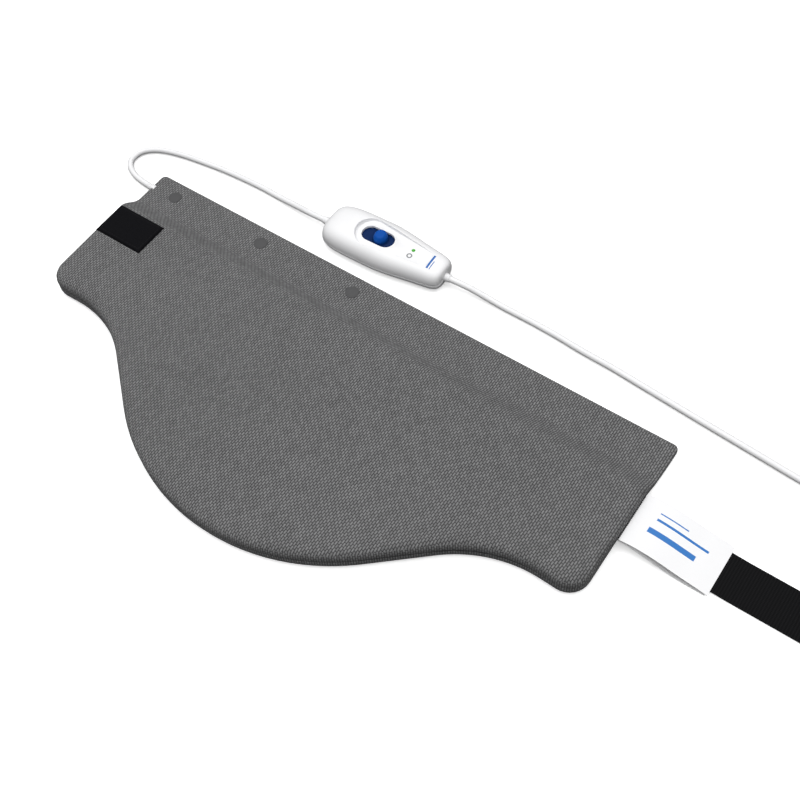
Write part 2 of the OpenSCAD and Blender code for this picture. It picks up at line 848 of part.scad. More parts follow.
module fuse_link() {
    color("ivory") at_controller() translate([inlet_x, 6, pcb_top + link_d / 2])
        rotate([0, 90, 0]) cylinder(h = link_l, d = link_d);
}

module resistors() {
    color("saddlebrown") at_controller() for (i = [0:2])
        translate([power_x, -10 + 4 * i, pcb_top + resistor_d / 2]) rotate([0, 90, 0])
            cylinder(h = resistor_l, d = resistor_d);
}

module terminal_blocks() {
    color("seagreen") at_controller() for (s = [-1, 1])
        translate([s * (pcb_l / 2 - 3.2) - terminal_size[0] / 2, -terminal_size[1] / 2, pcb_top])
            cube(terminal_size);
}

module shell_screws() {
    color(metal) at_controller() {
        screw_posts(screw_d, head_z, split_z + screw_up);
        screw_posts(head_d, head_z - head_t, head_z);
    }
}

// Bushing pressed into the end of both shells, tapering onto the cord
module bushing() {
    translate([0, 0, -bushing_in]) cylinder(h = bushing_in, d = bushing_d);
    cylinder(h = bushing_out, d1 = bushing_d, d2 = cord_d + 1);
}

module lead_bushing() {
    color(white_plastic) at_controller() translate([-ctl_half + 0.5, 0, bushing_z])
        rotate([0, -90, 0]) bushing();
}

module mains_bushing() {
    color(white_plastic) at_controller() translate([ctl_half - 0.5, 0, bushing_z])
        rotate([0, 90, 0]) bushing();
}

// ---------- cords and plug ----------

module pad_lead() {
    color("white") tube(lead_route, 2);
}

module mains_cord() {
    color("white") tube(mains_route, 2);
}

module cord_coil() {
    color("white") translate([coil_at[0], coil_at[1], 0.1]) rotate_extrude($fn = 64)
        translate([coil_r - cord_d / 2, 0]) square([cord_d, coil_h - 0.1]);
}

module plug_tail() {
    color("white") tube(tail_route, 2);
}

module cord_tie() {
    tie_w = 6;
    tie_t = 1.2;
    color([0.15, 0.15, 0.16]) translate([coil_at[0], coil_at[1] - coil_r, 0]) difference() {
        translate([-tie_w / 2, -cord_d / 2 - tie_t, 0])
            cube([tie_w, cord_d + 2 * tie_t, coil_h + tie_t]);
        translate([-tie_w, -cord_d / 2, -1]) cube([2 * tie_w, cord_d, coil_h + 1]);
    }
}

module plug_strain_relief() {
    color("white") translate([plug_at[0], plug_at[1], plug_z]) rotate([0, -90, 0])
        cylinder(h = relief_l, d1 = relief_d, d2 = cord_d + 1.4);
}

module plug_body() {
    color("white") translate([plug_at[0], plug_at[1], plug_z]) difference() {
        rotate([0, 90, 0]) linear_extrude(plug_l) intersection() {
            square([plug_h, plug_w], center = true);
            circle(d = plug_w - 0.5);
        }
        at_pins(-root_l) cylinder(h = root_l + 1, d = root_d);
    }
}

// Both pin axes, from a distance x in front of the plug's face
module at_pins(x) {
    for (s = [-1, 1]) translate([plug_l + x, s * pin_pitch / 2, 0]) rotate([0, 90, 0]) children();
}

module plug_pins() {
    color(metal) translate([plug_at[0], plug_at[1], plug_z]) {
        at_pins(-root_l) cylinder(h = root_l, d = root_d);
        at_pins(-1) cylinder(h = sleeve_l + 1, d = neck_d);
        at_pins(sleeve_l) cylinder(h = pin_l - sleeve_l, d = pin_d);
    }
}

module pin_sleeves() {
    color([0.15, 0.15, 0.16]) translate([plug_at[0], plug_at[1], plug_z]) at_pins(0) difference() {
        cylinder(h = sleeve_l, d = pin_d);
        translate([0, 0, -1]) cylinder(h = sleeve_l + 2, d = neck_d);
    }
}

cover_top();
cover_bottom();
cover_seam();
snap_caps();
snap_sockets();
snap_studs();
snap_back_caps();
inner_bag_top();
inner_bag_bottom();
wadding_upper();
wadding_lower();
carrier_felt();
heating_wire();
thermostats();
thermal_fuse();
splice_block();
inner_lead();
lead_grommet();
closing_patch();
patch_stitching();
strap_anchor();
strap_band();
strap_closing_tab();
strap_stitching();
label_upper_leaf();
label_lower_leaf();
upper_shell();
lower_shell();
slider_button();
switch_lever();
switch_body();
circuit_board();
indicator_led();
triac();
heat_sink();
capacitor();
fuse_link();
resistors();
terminal_blocks();
shell_screws();
lead_bushing();
mains_bushing();
pad_lead();
mains_cord();
cord_coil();
plug_tail();
cord_tie();
plug_strain_relief();
plug_body();
plug_pins();
pin_sleeves();
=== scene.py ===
import json
import logging
import math
from dataclasses import dataclass, field
from enum import Enum
from typing import Callable, Iterable, Sequence

import bmesh
import bpy
import numpy as np
from mathutils import Matrix, Vector, geometry, kdtree


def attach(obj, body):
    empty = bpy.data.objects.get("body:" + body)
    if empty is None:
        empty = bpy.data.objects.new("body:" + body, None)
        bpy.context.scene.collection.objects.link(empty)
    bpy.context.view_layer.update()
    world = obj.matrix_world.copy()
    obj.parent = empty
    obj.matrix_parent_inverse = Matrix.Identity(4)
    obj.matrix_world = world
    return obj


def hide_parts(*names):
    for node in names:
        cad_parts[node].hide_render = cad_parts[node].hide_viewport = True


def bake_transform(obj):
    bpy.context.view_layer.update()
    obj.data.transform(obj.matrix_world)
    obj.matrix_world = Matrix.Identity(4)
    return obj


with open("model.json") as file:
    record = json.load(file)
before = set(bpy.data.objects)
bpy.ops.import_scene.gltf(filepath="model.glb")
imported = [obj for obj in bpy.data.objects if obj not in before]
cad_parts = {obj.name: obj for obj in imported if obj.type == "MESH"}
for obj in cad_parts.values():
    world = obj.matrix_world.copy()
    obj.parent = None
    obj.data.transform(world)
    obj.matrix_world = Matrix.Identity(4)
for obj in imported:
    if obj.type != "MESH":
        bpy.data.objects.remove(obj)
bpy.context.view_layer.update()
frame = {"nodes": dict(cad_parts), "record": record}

MM = 0.001
WELD = 2e-6
SHORTEST_EDGE = 1e-7
UPWARDS = (0.0, 0.0, 1.0)
LOG = logging.getLogger("heating_pad")

Point = Sequence[float]


class Body(Enum):
    """The rigid bodies that pieces ride on."""

    PAD = "pad"
    STRAP = "strap"
    SLIDER = "slider"


class Side(Enum):
    """The two faces of the padded cover."""

    TOP = "top"
    BOTTOM = "bottom"


# ---------------------------------------------------------------- numbers and curves


def smooth(t: np.ndarray | float) -> np.ndarray:
    """Smoothstep of t, held between 0 and 1."""
    u = np.clip(t, 0.0, 1.0)
    return u * u * (3 - 2 * u)


def unit(v: np.ndarray) -> np.ndarray:
    """The vectors in the last axis of v, each at length 1."""
    return v / np.maximum(np.linalg.norm(v, axis=-1, keepdims=True), 1e-12)


def smooth_curve(points: Sequence[Point], steps: int) -> np.ndarray:
    """Catmull-Rom curve through the points.

    Args:
        points: the points that the curve passes through, in mm.
        steps: curve points for each span.

    Returns:
        The curve's points, in mm.
    """
    p = np.asarray(points, float)
    n = len(p)
    t = np.linspace(0, 1, steps, endpoint=False)[:, None]
    out = []
    for i in range(n - 1):
        a, b, c, d = p[max(i - 1, 0)], p[i], p[i + 1], p[min(i + 2, n - 1)]
        square, cube = 2 * a - 5 * b + 4 * c - d, 3 * b - a - 3 * c + d
        out.append(0.5 * (2 * b + (c - a) * t + square * t**2 + cube * t**3))
    return np.vstack(out + [p[-1:]])


def run_length(points: np.ndarray) -> np.ndarray:
    """Distance along the points from the first one, in their own unit."""
    return np.concatenate([[0.0], np.cumsum(np.linalg.norm(np.diff(points, axis=0), axis=1))])


def rounded_box(width: float, height: float, radius: float, steps: int = 4) -> np.ndarray:
    """Outline of a rectangle with round corners, anticlockwise round its middle.

    Args:
        width: size along the first axis.
        height: size along the second axis.
        radius: corner radius.
        steps: points for each corner less one.

    Returns:
        The outline's points, one row each.
    """
    out = []
    for sx, sy, start in ((1, 1, 0), (-1, 1, 90), (-1, -1, 180), (1, -1, 270)):
        a = np.radians(start + 90 * np.arange(steps + 1) / steps)
        x = sx * (width / 2 - radius) + radius * np.cos(a)
        y = sy * (height / 2 - radius) + radius * np.sin(a)
        out.append(np.column_stack([x, y]))
    return np.vstack(out)


def ribs(start: float, radius: float, taper: float, groove: float) -> list[tuple[float, float]]:
    """Profile of three short ribs with grooves between them.

    Args:
        start: where the first rib starts along the axis, in mm.
        radius: radius of the first rib.
        taper: how much smaller each next rib is.
        groove: depth of the grooves.

    Returns:
        (distance, radius) points.
    """
    out = []
    for i in range(3):
        at, r = start + 1.4 * i, radius - taper * i
        out += [(at, r), (at + 0.8, r), (at + 0.9, r - groove), (at + 1.3, r - groove)]
    return out


# ---------------------------------------------------------------- meshes


@dataclass
class Surface:
    """Gathers patches of mesh, in mm, and turns them into one object."""

    verts: list[np.ndarray] = field(default_factory=list)
    faces: list[tuple[int, ...]] = field(default_factory=list)
    uvs: list[tuple[float, float]] = field(default_factory=list)
    count: int = 0

    def put(self, points: np.ndarray) -> int:
        """Adds points.

        Args:
            points: the points, in mm.

        Returns:
            The index of the first of them.
        """
        first = self.count
        pts = np.asarray(points, float).reshape(-1, 3)
        self.verts.append(pts)
        self.count += len(pts)
        return first

    def face(self, corners: Sequence[int], uv: Sequence[Point]) -> None:
        """Adds one face with a texture place for each corner, in metres."""
        self.faces.append(tuple(int(c) for c in corners))
        self.uvs.extend((float(u[0]), float(u[1])) for u in uv)

    def grid(
        self, points: np.ndarray, uv: np.ndarray, closed: bool = False, flip: bool = False
    ) -> None:
        """Adds a grid of quads.

        Args:
            points: array of rows, columns and 3 coordinates, in mm.
            uv: texture places with one column more than points when closed, in metres.
            closed: whether the last column joins the first.
            flip: whether the faces are turned over.
        """
        rows, cols = points.shape[:2]
        first = self.put(points)
        for r in range(rows - 1):
            for c in range(cols if closed else cols - 1):
                d = (c + 1) % cols
                near, far = first + r * cols, first + (r + 1) * cols
                quad = [near + c, near + d, far + d, far + c]
                place = [uv[r, c], uv[r, c + 1], uv[r + 1, c + 1], uv[r + 1, c]]
                if flip:
                    quad, place = quad[::-1], place[::-1]
                self.face(quad, place)

    def cap(self, ring: np.ndarray, flip: bool = False) -> None:
        """Closes a ring of points with a fan about its middle.

        Args:
            ring: the ring's points, in mm.
            flip: whether the faces are turned over.
        """
        middle = ring.mean(axis=0)
        first = self.put(np.vstack([ring, middle]))
        n = len(ring)
        flat = (ring - middle) * MM
        axis = int(np.argmin(np.ptp(flat, axis=0)))
        keep = [i for i in range(3) if i != axis]
        for i in range(n):
            j = (i + 1) % n
            tri = [first + i, first + j, first + n]
            place = [flat[i][keep], flat[j][keep], (0.0, 0.0)]
            if flip:
                tri, place = tri[::-1], place[::-1]
            self.face(tri, place)

    def sweep(
        self, path: np.ndarray, section: np.ndarray, up: Point = (0, 0, 1), ends: bool = True
    ) -> None:
        """Sweeps a closed section along a path.

        Args:
            path: the path's points, in mm.
            section: outline across (side, up), or one outline for each path point, in mm.
            up: direction that the section's second axis stays nearest to.
            ends: whether both ends are closed.
        """
        path = np.asarray(path, float)
        ahead = unit(np.gradient(path, axis=0))
        side = unit(np.cross(ahead, np.asarray(up, float)))
        lift = np.cross(side, ahead)
        sec = np.broadcast_to(section, (len(path),) + np.shape(section)[-2:])
        pts = path[:, None] + sec[:, :, :1] * side[:, None] + sec[:, :, 1:] * lift[:, None]
        ring = np.vstack([sec[0], sec[0][:1]])
        around = run_length(ring) * MM
        along = run_length(path) * MM
        uv = np.stack(np.meshgrid(around, along), axis=-1)
        self.grid(pts, uv, closed=True)
        if ends:
            self.cap(pts[0], flip=False)
            self.cap(pts[-1], flip=True)

    def lathe(
        self,
        origin: Point,
        axis: Point,
        profile: Sequence[Point],
        sides: int = 24,
        up: Point = (0, 0, 1),
        ends: bool = True,
    ) -> None:
        """Turns a profile about an axis.

        Args:
            origin: where the axis starts, in mm.
            axis: the axis's direction.
            profile: (distance along the axis, radius) points, in mm.
            sides: points round the axis.
            up: direction that the first point round the axis is square to.
            ends: whether open ends are closed.
        """
        ahead = unit(np.asarray(axis, float))
        side = unit(np.cross(ahead, np.asarray(up, float)))
        lift = np.cross(side, ahead)
        a = np.linspace(0, 2 * math.pi, sides, endpoint=False)
        ring = np.cos(a)[:, None] * side + np.sin(a)[:, None] * lift
        prof = np.asarray(profile, float)
        pts = np.asarray(origin, float) + prof[:, None, :1] * ahead + prof[:, None, 1:] * ring
        around = np.linspace(0, 2 * math.pi * prof[:, 1].max() * MM, sides + 1)
        uv = np.stack(np.meshgrid(around, run_length(prof) * MM), axis=-1)
        self.grid(pts, uv, closed=True)
        if ends and prof[0, 1] > 0.01:
            self.cap(pts[0])
        if ends and prof[-1, 1] > 0.01:
            self.cap(pts[-1], flip=True)

    def object(
        self, name: str, sharp: float = 50.0, turn_out: bool = True
    ) -> bpy.types.Object:
        """Makes the object.

        Args:
            name: the object's name.
            sharp: angle in degrees above which an edge stays sharp.
            turn_out: whether the faces are all turned outwards.

        Returns:
            The new object, linked to the scene, in metres.
        """
        mesh = bpy.data.meshes.new(name)
        mesh.from_pydata((np.vstack(self.verts) * MM).tolist(), [], self.faces)
        layer = mesh.uv_layers.new(name="UVMap")
        layer.data.foreach_set("uv", np.asarray(self.uvs, np.float32).ravel())
        work = bmesh.new()
        work.from_mesh(mesh)
        bmesh.ops.remove_doubles(work, verts=work.verts, dist=WELD)
        bmesh.ops.dissolve_degenerate(work, edges=work.edges, dist=SHORTEST_EDGE)
        if turn_out:
            bmesh.ops.recalc_face_normals(work, faces=work.faces)
        work.to_mesh(mesh)
        work.free()
        mesh.polygons.foreach_set("use_smooth", [True] * len(mesh.polygons))
        mesh.set_sharp_from_angle(angle=math.radians(sharp))
        obj = bpy.data.objects.new(name, mesh)
        bpy.context.scene.collection.objects.link(obj)
        return obj


# ---------------------------------------------------------------- node graphs


class Graph:
    """Short calls that add nodes to one node tree."""

    def __init__(self, tree: bpy.types.NodeTree) -> None:
        """Keeps the tree that nodes are added to."""
        self.tree = tree

    def plug(self, value: object, socket: bpy.types.NodeSocket) -> None:
        """Links a socket to an input, or sets a plain value on it.

        Args:
            value: the socket or the value.
            socket: the input.
        """
        if isinstance(value, bpy.types.NodeSocket):
            self.tree.links.new(value, socket)
        else:
            socket.default_value = value

    def add(self, kind: str, inputs: dict | None = None, **settings: object) -> bpy.types.Node:
        """Adds a node, sets its attributes and fills its inputs.

        Args:
            kind: the node's type.
            inputs: values or sockets, by the input's name or index.
            settings: values of the node's attributes.

        Returns:
            The node.
        """
        node = self.tree.nodes.new(kind)
        for key, value in settings.items():
            setattr(node, key, value)
        for key, value in (inputs or {}).items():
            self.plug(value, node.inputs[key])
        return node

    def math(self, operation: str, *values: object, clamp: bool = False) -> bpy.types.NodeSocket:
        """Adds a Math node and returns its result."""
        inputs = dict(enumerate(values))
        return self.add("ShaderNodeMath", inputs, operation=operation, use_clamp=clamp).outputs[0]

    def times(self, a: object, b: object) -> bpy.types.NodeSocket:
        """Multiplies two numbers."""
        return self.math("MULTIPLY", a, b)

    def scale(self, vector: object, factors: Point) -> bpy.types.NodeSocket:
        """Multiplies a vector by three factors."""
        inputs = {0: vector, 1: factors}
        return self.add("ShaderNodeVectorMath", inputs, operation="MULTIPLY").outputs[0]

    def noise(
        self, vector: object, scale: object, detail: float = 2.0, rough: float = 0.5
    ) -> bpy.types.NodeSocket:
        """Adds a noise texture and returns its value."""
        inputs = {"Vector": vector, "Scale": scale, "Detail": detail, "Roughness": rough}
        return self.add("ShaderNodeTexNoise", inputs).outputs[0]

    def remap(self, value: object, low: float, high: float) -> bpy.types.NodeSocket:
        """Maps 0..1 to low..high."""
        return self.add("ShaderNodeMapRange", {0: value, 3: low, 4: high}).outputs[0]

    def between(self, value: object, low: float, high: float) -> bpy.types.NodeSocket:
        """Mask that is 1 where the value lies between low and high."""
        over = self.math("GREATER_THAN", value, low)
        return self.times(over, self.math("LESS_THAN", value, high))

    def blend(self, factor: object, a: object, b: object) -> bpy.types.NodeSocket:
        """Mixes two colours."""
        inputs = {0: factor, 6: a, 7: b}
        return self.add("ShaderNodeMix", inputs, data_type="RGBA").outputs[2]

    def shade(self, colour: object, tone: object) -> bpy.types.NodeSocket:
        """Multiplies a colour by a tone."""
        inputs = {0: colour[:3] if isinstance(colour, tuple) else colour, 3: tone}
        return self.add("ShaderNodeVectorMath", inputs, operation="SCALE").outputs[0]

    def bump(self, height: object, strength: float, distance: float) -> bpy.types.NodeSocket:
        """Adds a Bump node, distance in mm, and returns the normal."""
        inputs = {"Strength": strength, "Distance": distance * MM, "Height": height}
        return self.add("ShaderNodeBump", inputs).outputs[0]

    def split(self, vector: object) -> list[bpy.types.NodeSocket]:
        """The three parts of a vector."""
        return list(self.add("ShaderNodeSeparateXYZ", {0: vector}).outputs)


class GroupGraph(Graph):
    """The node tree of a group, with its inputs and outputs by name."""

    def __init__(self, tree: bpy.types.NodeTree) -> None:
        """Adds the nodes that stand for the group's inputs and outputs."""
        super().__init__(tree)
        source = self.add("NodeGroupInput")
        self.sink = self.add("NodeGroupOutput")
        self.given = {socket.name: socket for socket in source.outputs if socket.name}

    def give(self, **values: object) -> None:
        """Feeds the group's outputs, by name."""
        for key, value in values.items():
            self.plug(value, self.sink.inputs[key])


class MaterialGraph(Graph):
    """The node tree of a material, with its shader and its coordinates."""

    def __init__(self, tree: bpy.types.NodeTree) -> None:
        """Finds the Principled node and adds the Texture Coordinate node."""
        super().__init__(tree)
        self.shader = tree.nodes["Principled BSDF"]
        self.where = self.add("ShaderNodeTexCoord").outputs

    def feed(self, **values: object) -> None:
        """Sets or links inputs of the shader, a space in their names written as an underscore."""
        for key, value in values.items():
            self.plug(value, self.shader.inputs[key.replace("_", " ")])


@dataclass(frozen=True)
class Effect:
    """A shader node group with named inputs and outputs, built once."""

    name: str
    inputs: tuple[tuple[str, float], ...]
    outputs: tuple[str, ...]
    fill: Callable[[GroupGraph], None]

    def tree(self) -> bpy.types.NodeTree:
        """The group's node tree, made on the first call.

        Returns:
            The tree, which takes a Vector and the named numbers.
        """
        found = bpy.data.node_groups.get(self.name)
        if found:
            return found
        tree = bpy.data.node_groups.new(self.name, "ShaderNodeTree")
        sockets = tree.interface
        sockets.new_socket(name="Vector", in_out="INPUT", socket_type="NodeSocketVector")
        for name, value in self.inputs:
            socket = sockets.new_socket(name=name, in_out="INPUT", socket_type="NodeSocketFloat")
            socket.default_value = value
        for name in self.outputs:
            sockets.new_socket(name=name, in_out="OUTPUT", socket_type="NodeSocketFloat")
        self.fill(GroupGraph(tree))
        return tree

    def place(self, g: Graph, **values: object) -> dict[str, bpy.types.NodeSocket]:
        """Puts the group in a material.

        Args:
            g: the material's graph.
            values: one value or socket for each input, its spaces written as underscores.

        Returns:
            The group's outputs by name.
        """
        inputs = {key.replace("_", " "): value for key, value in values.items()}
        return g.add("ShaderNodeGroup", inputs, node_tree=self.tree()).outputs


def fill_rib_weave(g: GroupGraph) -> None:
    """Short raised ribs in offset columns, as on a structured knit.

    Args:
        g: the group's graph.
    """
    u, v, _ = g.split(g.given["Vector"])
    column = g.math("DIVIDE", u, g.given["Pitch"])
    cell = g.math("DIVIDE", v, g.given["Rib Length"])
    step = g.math("FLOOR", column)
    shifted = g.math("ADD", cell, g.times(g.math("MODULO", step, 2.0), 0.5))
    fu = g.math("SUBTRACT", g.math("FRACT", column), 0.5)
    fv = g.math("SUBTRACT", g.math("FRACT", shifted), 0.5)
    across = g.math("SUBTRACT", 1.0, g.times(g.times(fu, fu), 4.0))
    ends = g.math("POWER", g.math("ABSOLUTE", g.times(fv, 2.0)), 5.0)
    along = g.math("SUBTRACT", 1.0, ends)
    height = g.math("MULTIPLY", across, along, clamp=True)
    place = g.add("ShaderNodeCombineXYZ", {0: step, 1: g.math("FLOOR", shifted)})
    each = g.add(
        "ShaderNodeTexWhiteNoise", {"Vector": place.outputs[0]}, noise_dimensions="2D"
    )
    yarn = g.noise(g.given["Vector"], 2600.0)
    tone = g.times(g.remap(height, 0.24, 1.42), g.remap(each.outputs["Value"], 0.86, 1.14))
    g.give(
        Tone=g.times(tone, g.remap(yarn, 0.86, 1.14)),
        Height=g.math("ADD", height, g.times(yarn, 0.3)),
    )


def fill_grain(g: GroupGraph) -> None:
    """Fine surface grain with slow patches of tone, as on moulded plastic and metal.

    Args:
        g: the group's graph.
    """
    fine = g.noise(g.given["Vector"], g.given["Scale"], 3.0, 0.6)
    slow = g.noise(g.given["Vector"], 28.0)
    g.give(
        Height=fine,
        Tone=g.math("ADD", g.times(fine, 0.35), g.times(slow, 0.65)),
        Rubbed=g.math("POWER", slow, 3.0, clamp=True),
    )


def fill_webbing(g: GroupGraph) -> None:
    """Cross ribs and lengthwise warp of woven tape.

    Args:
        g: the group's graph.
    """
    u, v, _ = g.split(g.given["Vector"])
    turn = 6.28318
    rib = g.math("SINE", g.times(v, g.math("DIVIDE", turn, g.given["Rib Pitch"])))
    warp = g.math("SINE", g.times(u, g.math("DIVIDE", turn, g.given["Warp Pitch"])))
    height = g.math("ADD", g.times(rib, 0.35), g.times(warp, 0.22))
    fuzz = g.noise(g.given["Vector"], 2200.0)
    g.give(
        Height=g.math("ADD", g.math("ADD", height, 0.5), g.times(fuzz, 0.3)),
        Tone=g.math("ADD", g.remap(height, 0.9, 1.5), g.times(fuzz, 0.4)),
    )


def fill_fibre(g: GroupGraph) -> None:
    """Tangled fibres of felt, fleece and pile.

    Args:
        g: the group's graph.
    """
    where, scale = g.given["Vector"], g.given["Scale"]
    cells = g.add("ShaderNodeTexVoronoi", {"Vector": where, "Scale": scale}, feature="F1")
    tangle = g.noise(where, g.times(scale, 0.4), 4.0, 0.7)
    height = g.math("ADD", g.times(cells.outputs[0], 0.6), tangle)
    g.give(Height=height, Tone=g.remap(height, 0.7, 1.3))


RIB_WEAVE = Effect(
    "Rib weave", (("Pitch", 0.0034), ("Rib Length", 0.006)), ("Height", "Tone"), fill_rib_weave
)
GRAIN = Effect(
    "Moulding grain", (("Scale", 900.0),), ("Height", "Tone", "Rubbed"), fill_grain
)
WEBBING = Effect(
    "Woven tape", (("Rib Pitch", 0.0022), ("Warp Pitch", 0.0012)), ("Height", "Tone"), fill_webbing
)
FIBRE = Effect("Fibre tangle", (("Scale", 900.0),), ("Height", "Tone"), fill_fibre)


# ---------------------------------------------------------------- finishes


@dataclass(frozen=True)
class Finish:
    """A finish of one material: its colour and how rough it is."""

    name: str
    colour: tuple[float, float, float]
    roughness: float = 0.5

    def material(self) -> bpy.types.Material:
        """The material with this finish, made on the first call.

        Returns:
            The material.
        """
        found = bpy.data.materials.get(self.name)
        if found:
            return found
        mat = bpy.data.materials.new(self.name)
        mat.use_nodes = True
        mat.diffuse_color = self.rgba
        g = MaterialGraph(mat.node_tree)
        g.feed(Roughness=self.roughness)
        self.dress(g)
        return mat

    @property
    def rgba(self) -> tuple[float, float, float, float]:
        """The colour with full opacity."""
        return (*self.colour, 1.0)

    def dress(self, g: MaterialGraph) -> None:
        """Adds the finish's own nodes; each finish has its own."""
        raise NotImplementedError


@dataclass(frozen=True)
class Moulded(Finish):
    """Moulded plastic with a fine spark texture and rubbed patches, and, where given, painted shade
    and light by height.
    """

    grain: float = 900.0
    depth: float = 0.03
    coat: float = 0.0
    shine: float = 0.5
    glow: float = 0.0
    painted_shade_heights: tuple[float, float] | None = None

    def dress(self, g: MaterialGraph) -> None:
        """Adds grain to colour, roughness and normal, and, where given, painted shade and light by
        height.

        Args:
            g: the material's graph.
        """
        effect = GRAIN.place(g, Vector=g.where["Object"], Scale=self.grain)
        tone = g.remap(effect["Tone"], 0.94, 1.06)
        # Painted shade and light: the colour grows darker towards the bottom of the slider's well
        # and lighter on the knob's top, by height.
        if self.painted_shade_heights:
            height = g.split(g.where["Object"])[2]
            inputs = dict(enumerate((height, *self.painted_shade_heights, 0.3, 1.3)))
            rise = g.add("ShaderNodeMapRange", inputs, interpolation_type="SMOOTHSTEP")
            tone = g.times(tone, rise.outputs[0])
        g.feed(
            Base_Color=g.shade(self.rgba, tone),
            Roughness=g.remap(effect["Rubbed"], self.roughness * 1.08, self.roughness * 0.7),
            Normal=g.bump(effect["Height"], 0.6, self.depth),
            Specular_IOR_Level=self.shine,
            Coat_Weight=self.coat,
            Coat_Roughness=0.15,
        )
        if self.glow:
            g.feed(Emission_Color=self.rgba, Emission_Strength=self.glow)


@dataclass(frozen=True)
class Plated(Finish):
    """Bare or plated metal with fine brush marks."""

    def dress(self, g: MaterialGraph) -> None:
        """Adds brush marks and dull patches.

        Args:
            g: the material's graph.
        """
        lines = g.scale(g.where["Object"], (1.0, 0.12, 1.0))
        effect = GRAIN.place(g, Vector=lines, Scale=1600.0)
        g.feed(
            Metallic=1.0,
            Base_Color=g.shade(self.rgba, g.remap(effect["Tone"], 0.85, 1.1)),
            Roughness=g.remap(effect["Height"], self.roughness * 0.7, self.roughness * 1.4),
            Normal=g.bump(effect["Height"], 0.4, 0.02),
        )


@dataclass(frozen=True)
class RibbedCloth(Finish):
    """Structured grey cover cloth with short raised ribs."""

    pitch: float = 0.0019
    rib: float = 0.0038

    def dress(self, g: MaterialGraph) -> None:
        """Adds the ribs, lint and slow shading of the cloth.

        Args:
            g: the material's graph.
        """
        weave = RIB_WEAVE.place(g, Vector=g.where["UV"], Pitch=self.pitch, Rib_Length=self.rib)
        slow = g.noise(g.where["Object"], 14.0, 3.0)
        g.feed(
            Base_Color=g.shade(self.rgba, g.times(weave["Tone"], g.remap(slow, 0.93, 1.07))),
            Roughness=g.remap(weave["Height"], 0.95, 0.78),
            Normal=g.bump(weave["Height"], 0.9, 0.55),
            Sheen_Weight=0.08,
            Sheen_Roughness=0.5,
            Specular_IOR_Level=0.25,
        )


@dataclass(frozen=True)
class Tape(Finish):
    """Woven tape, elastic or twisted thread."""

    rib: float = 0.0022
    warp: float = 0.0012
    depth: float = 0.25

    def dress(self, g: MaterialGraph) -> None:
        """Adds the tape's weave.

        Args:
            g: the material's graph.
        """
        weave = WEBBING.place(g, Vector=g.where["UV"], Rib_Pitch=self.rib, Warp_Pitch=self.warp)
        g.feed(
            Base_Color=g.shade(self.rgba, weave["Tone"]),
            Normal=g.bump(weave["Height"], 0.8, self.depth),
            Roughness=g.remap(weave["Height"], 1.0, 0.7),
            Sheen_Weight=0.02,
            Specular_IOR_Level=0.12,
        )


@dataclass(frozen=True)
class Fibrous(Finish):
    """Felt, wadding or the pile of hook and loop tape."""

    scale: float = 900.0
    depth: float = 0.4

    def dress(self, g: MaterialGraph) -> None:
        """Adds tangled fibres.

        Args:
            g: the material's graph.
        """
        fuzz = FIBRE.place(g, Vector=g.where["Object"], Scale=self.scale)
        g.feed(
            Base_Color=g.shade(self.rgba, fuzz["Tone"]),
            Normal=g.bump(fuzz["Height"], 0.8, self.depth),
            Roughness=g.remap(fuzz["Tone"], 1.0, 0.85),
            Sheen_Weight=0.015,
            Specular_IOR_Level=0.06,
        )


@dataclass(frozen=True)
class Film(Finish):
    """Thin clear film with soft creases."""

    def dress(self, g: MaterialGraph) -> None:
        """Adds creases and haze to clear film.

        Args:
            g: the material's graph.
        """
        effect = GRAIN.place(g, Vector=g.where["Object"], Scale=60.0)
        g.feed(
            Base_Color=g.shade(self.rgba, g.remap(effect["Tone"], 0.9, 1.1)),
            Normal=g.bump(effect["Height"], 0.5, 0.6),
            Alpha=g.remap(effect["Tone"], 0.35, 0.6),
        )


@dataclass(frozen=True)
class PrintedLabel(Finish):
    """White satin label tape with plain printed bars."""

    blue: tuple[float, float, float, float] = (0.01, 0.16, 0.5, 1.0)
    bars: tuple[tuple[float, float, float, float], ...] = ()

    def dress(self, g: MaterialGraph) -> None:
        """Adds the satin weave and the printed bars.

        Args:
            g: the material's graph.
        """
        weave = WEBBING.place(g, Vector=g.where["UV"], Rib_Pitch=0.0007, Warp_Pitch=0.0005)
        base = g.shade(self.rgba, g.remap(weave["Height"], 0.96, 1.02))
        u, v, _ = g.split(g.where["Object"])
        for x0, x1, y0, y1 in self.bars:
            base = g.blend(g.times(g.between(u, x0, x1), g.between(v, y0, y1)), base, self.blue)
        g.feed(
            Base_Color=base,
            Normal=g.bump(weave["Height"], 0.4, 0.05),
            Roughness=g.remap(weave["Height"], 0.6, 0.42),
            Sheen_Weight=0.1,
        )


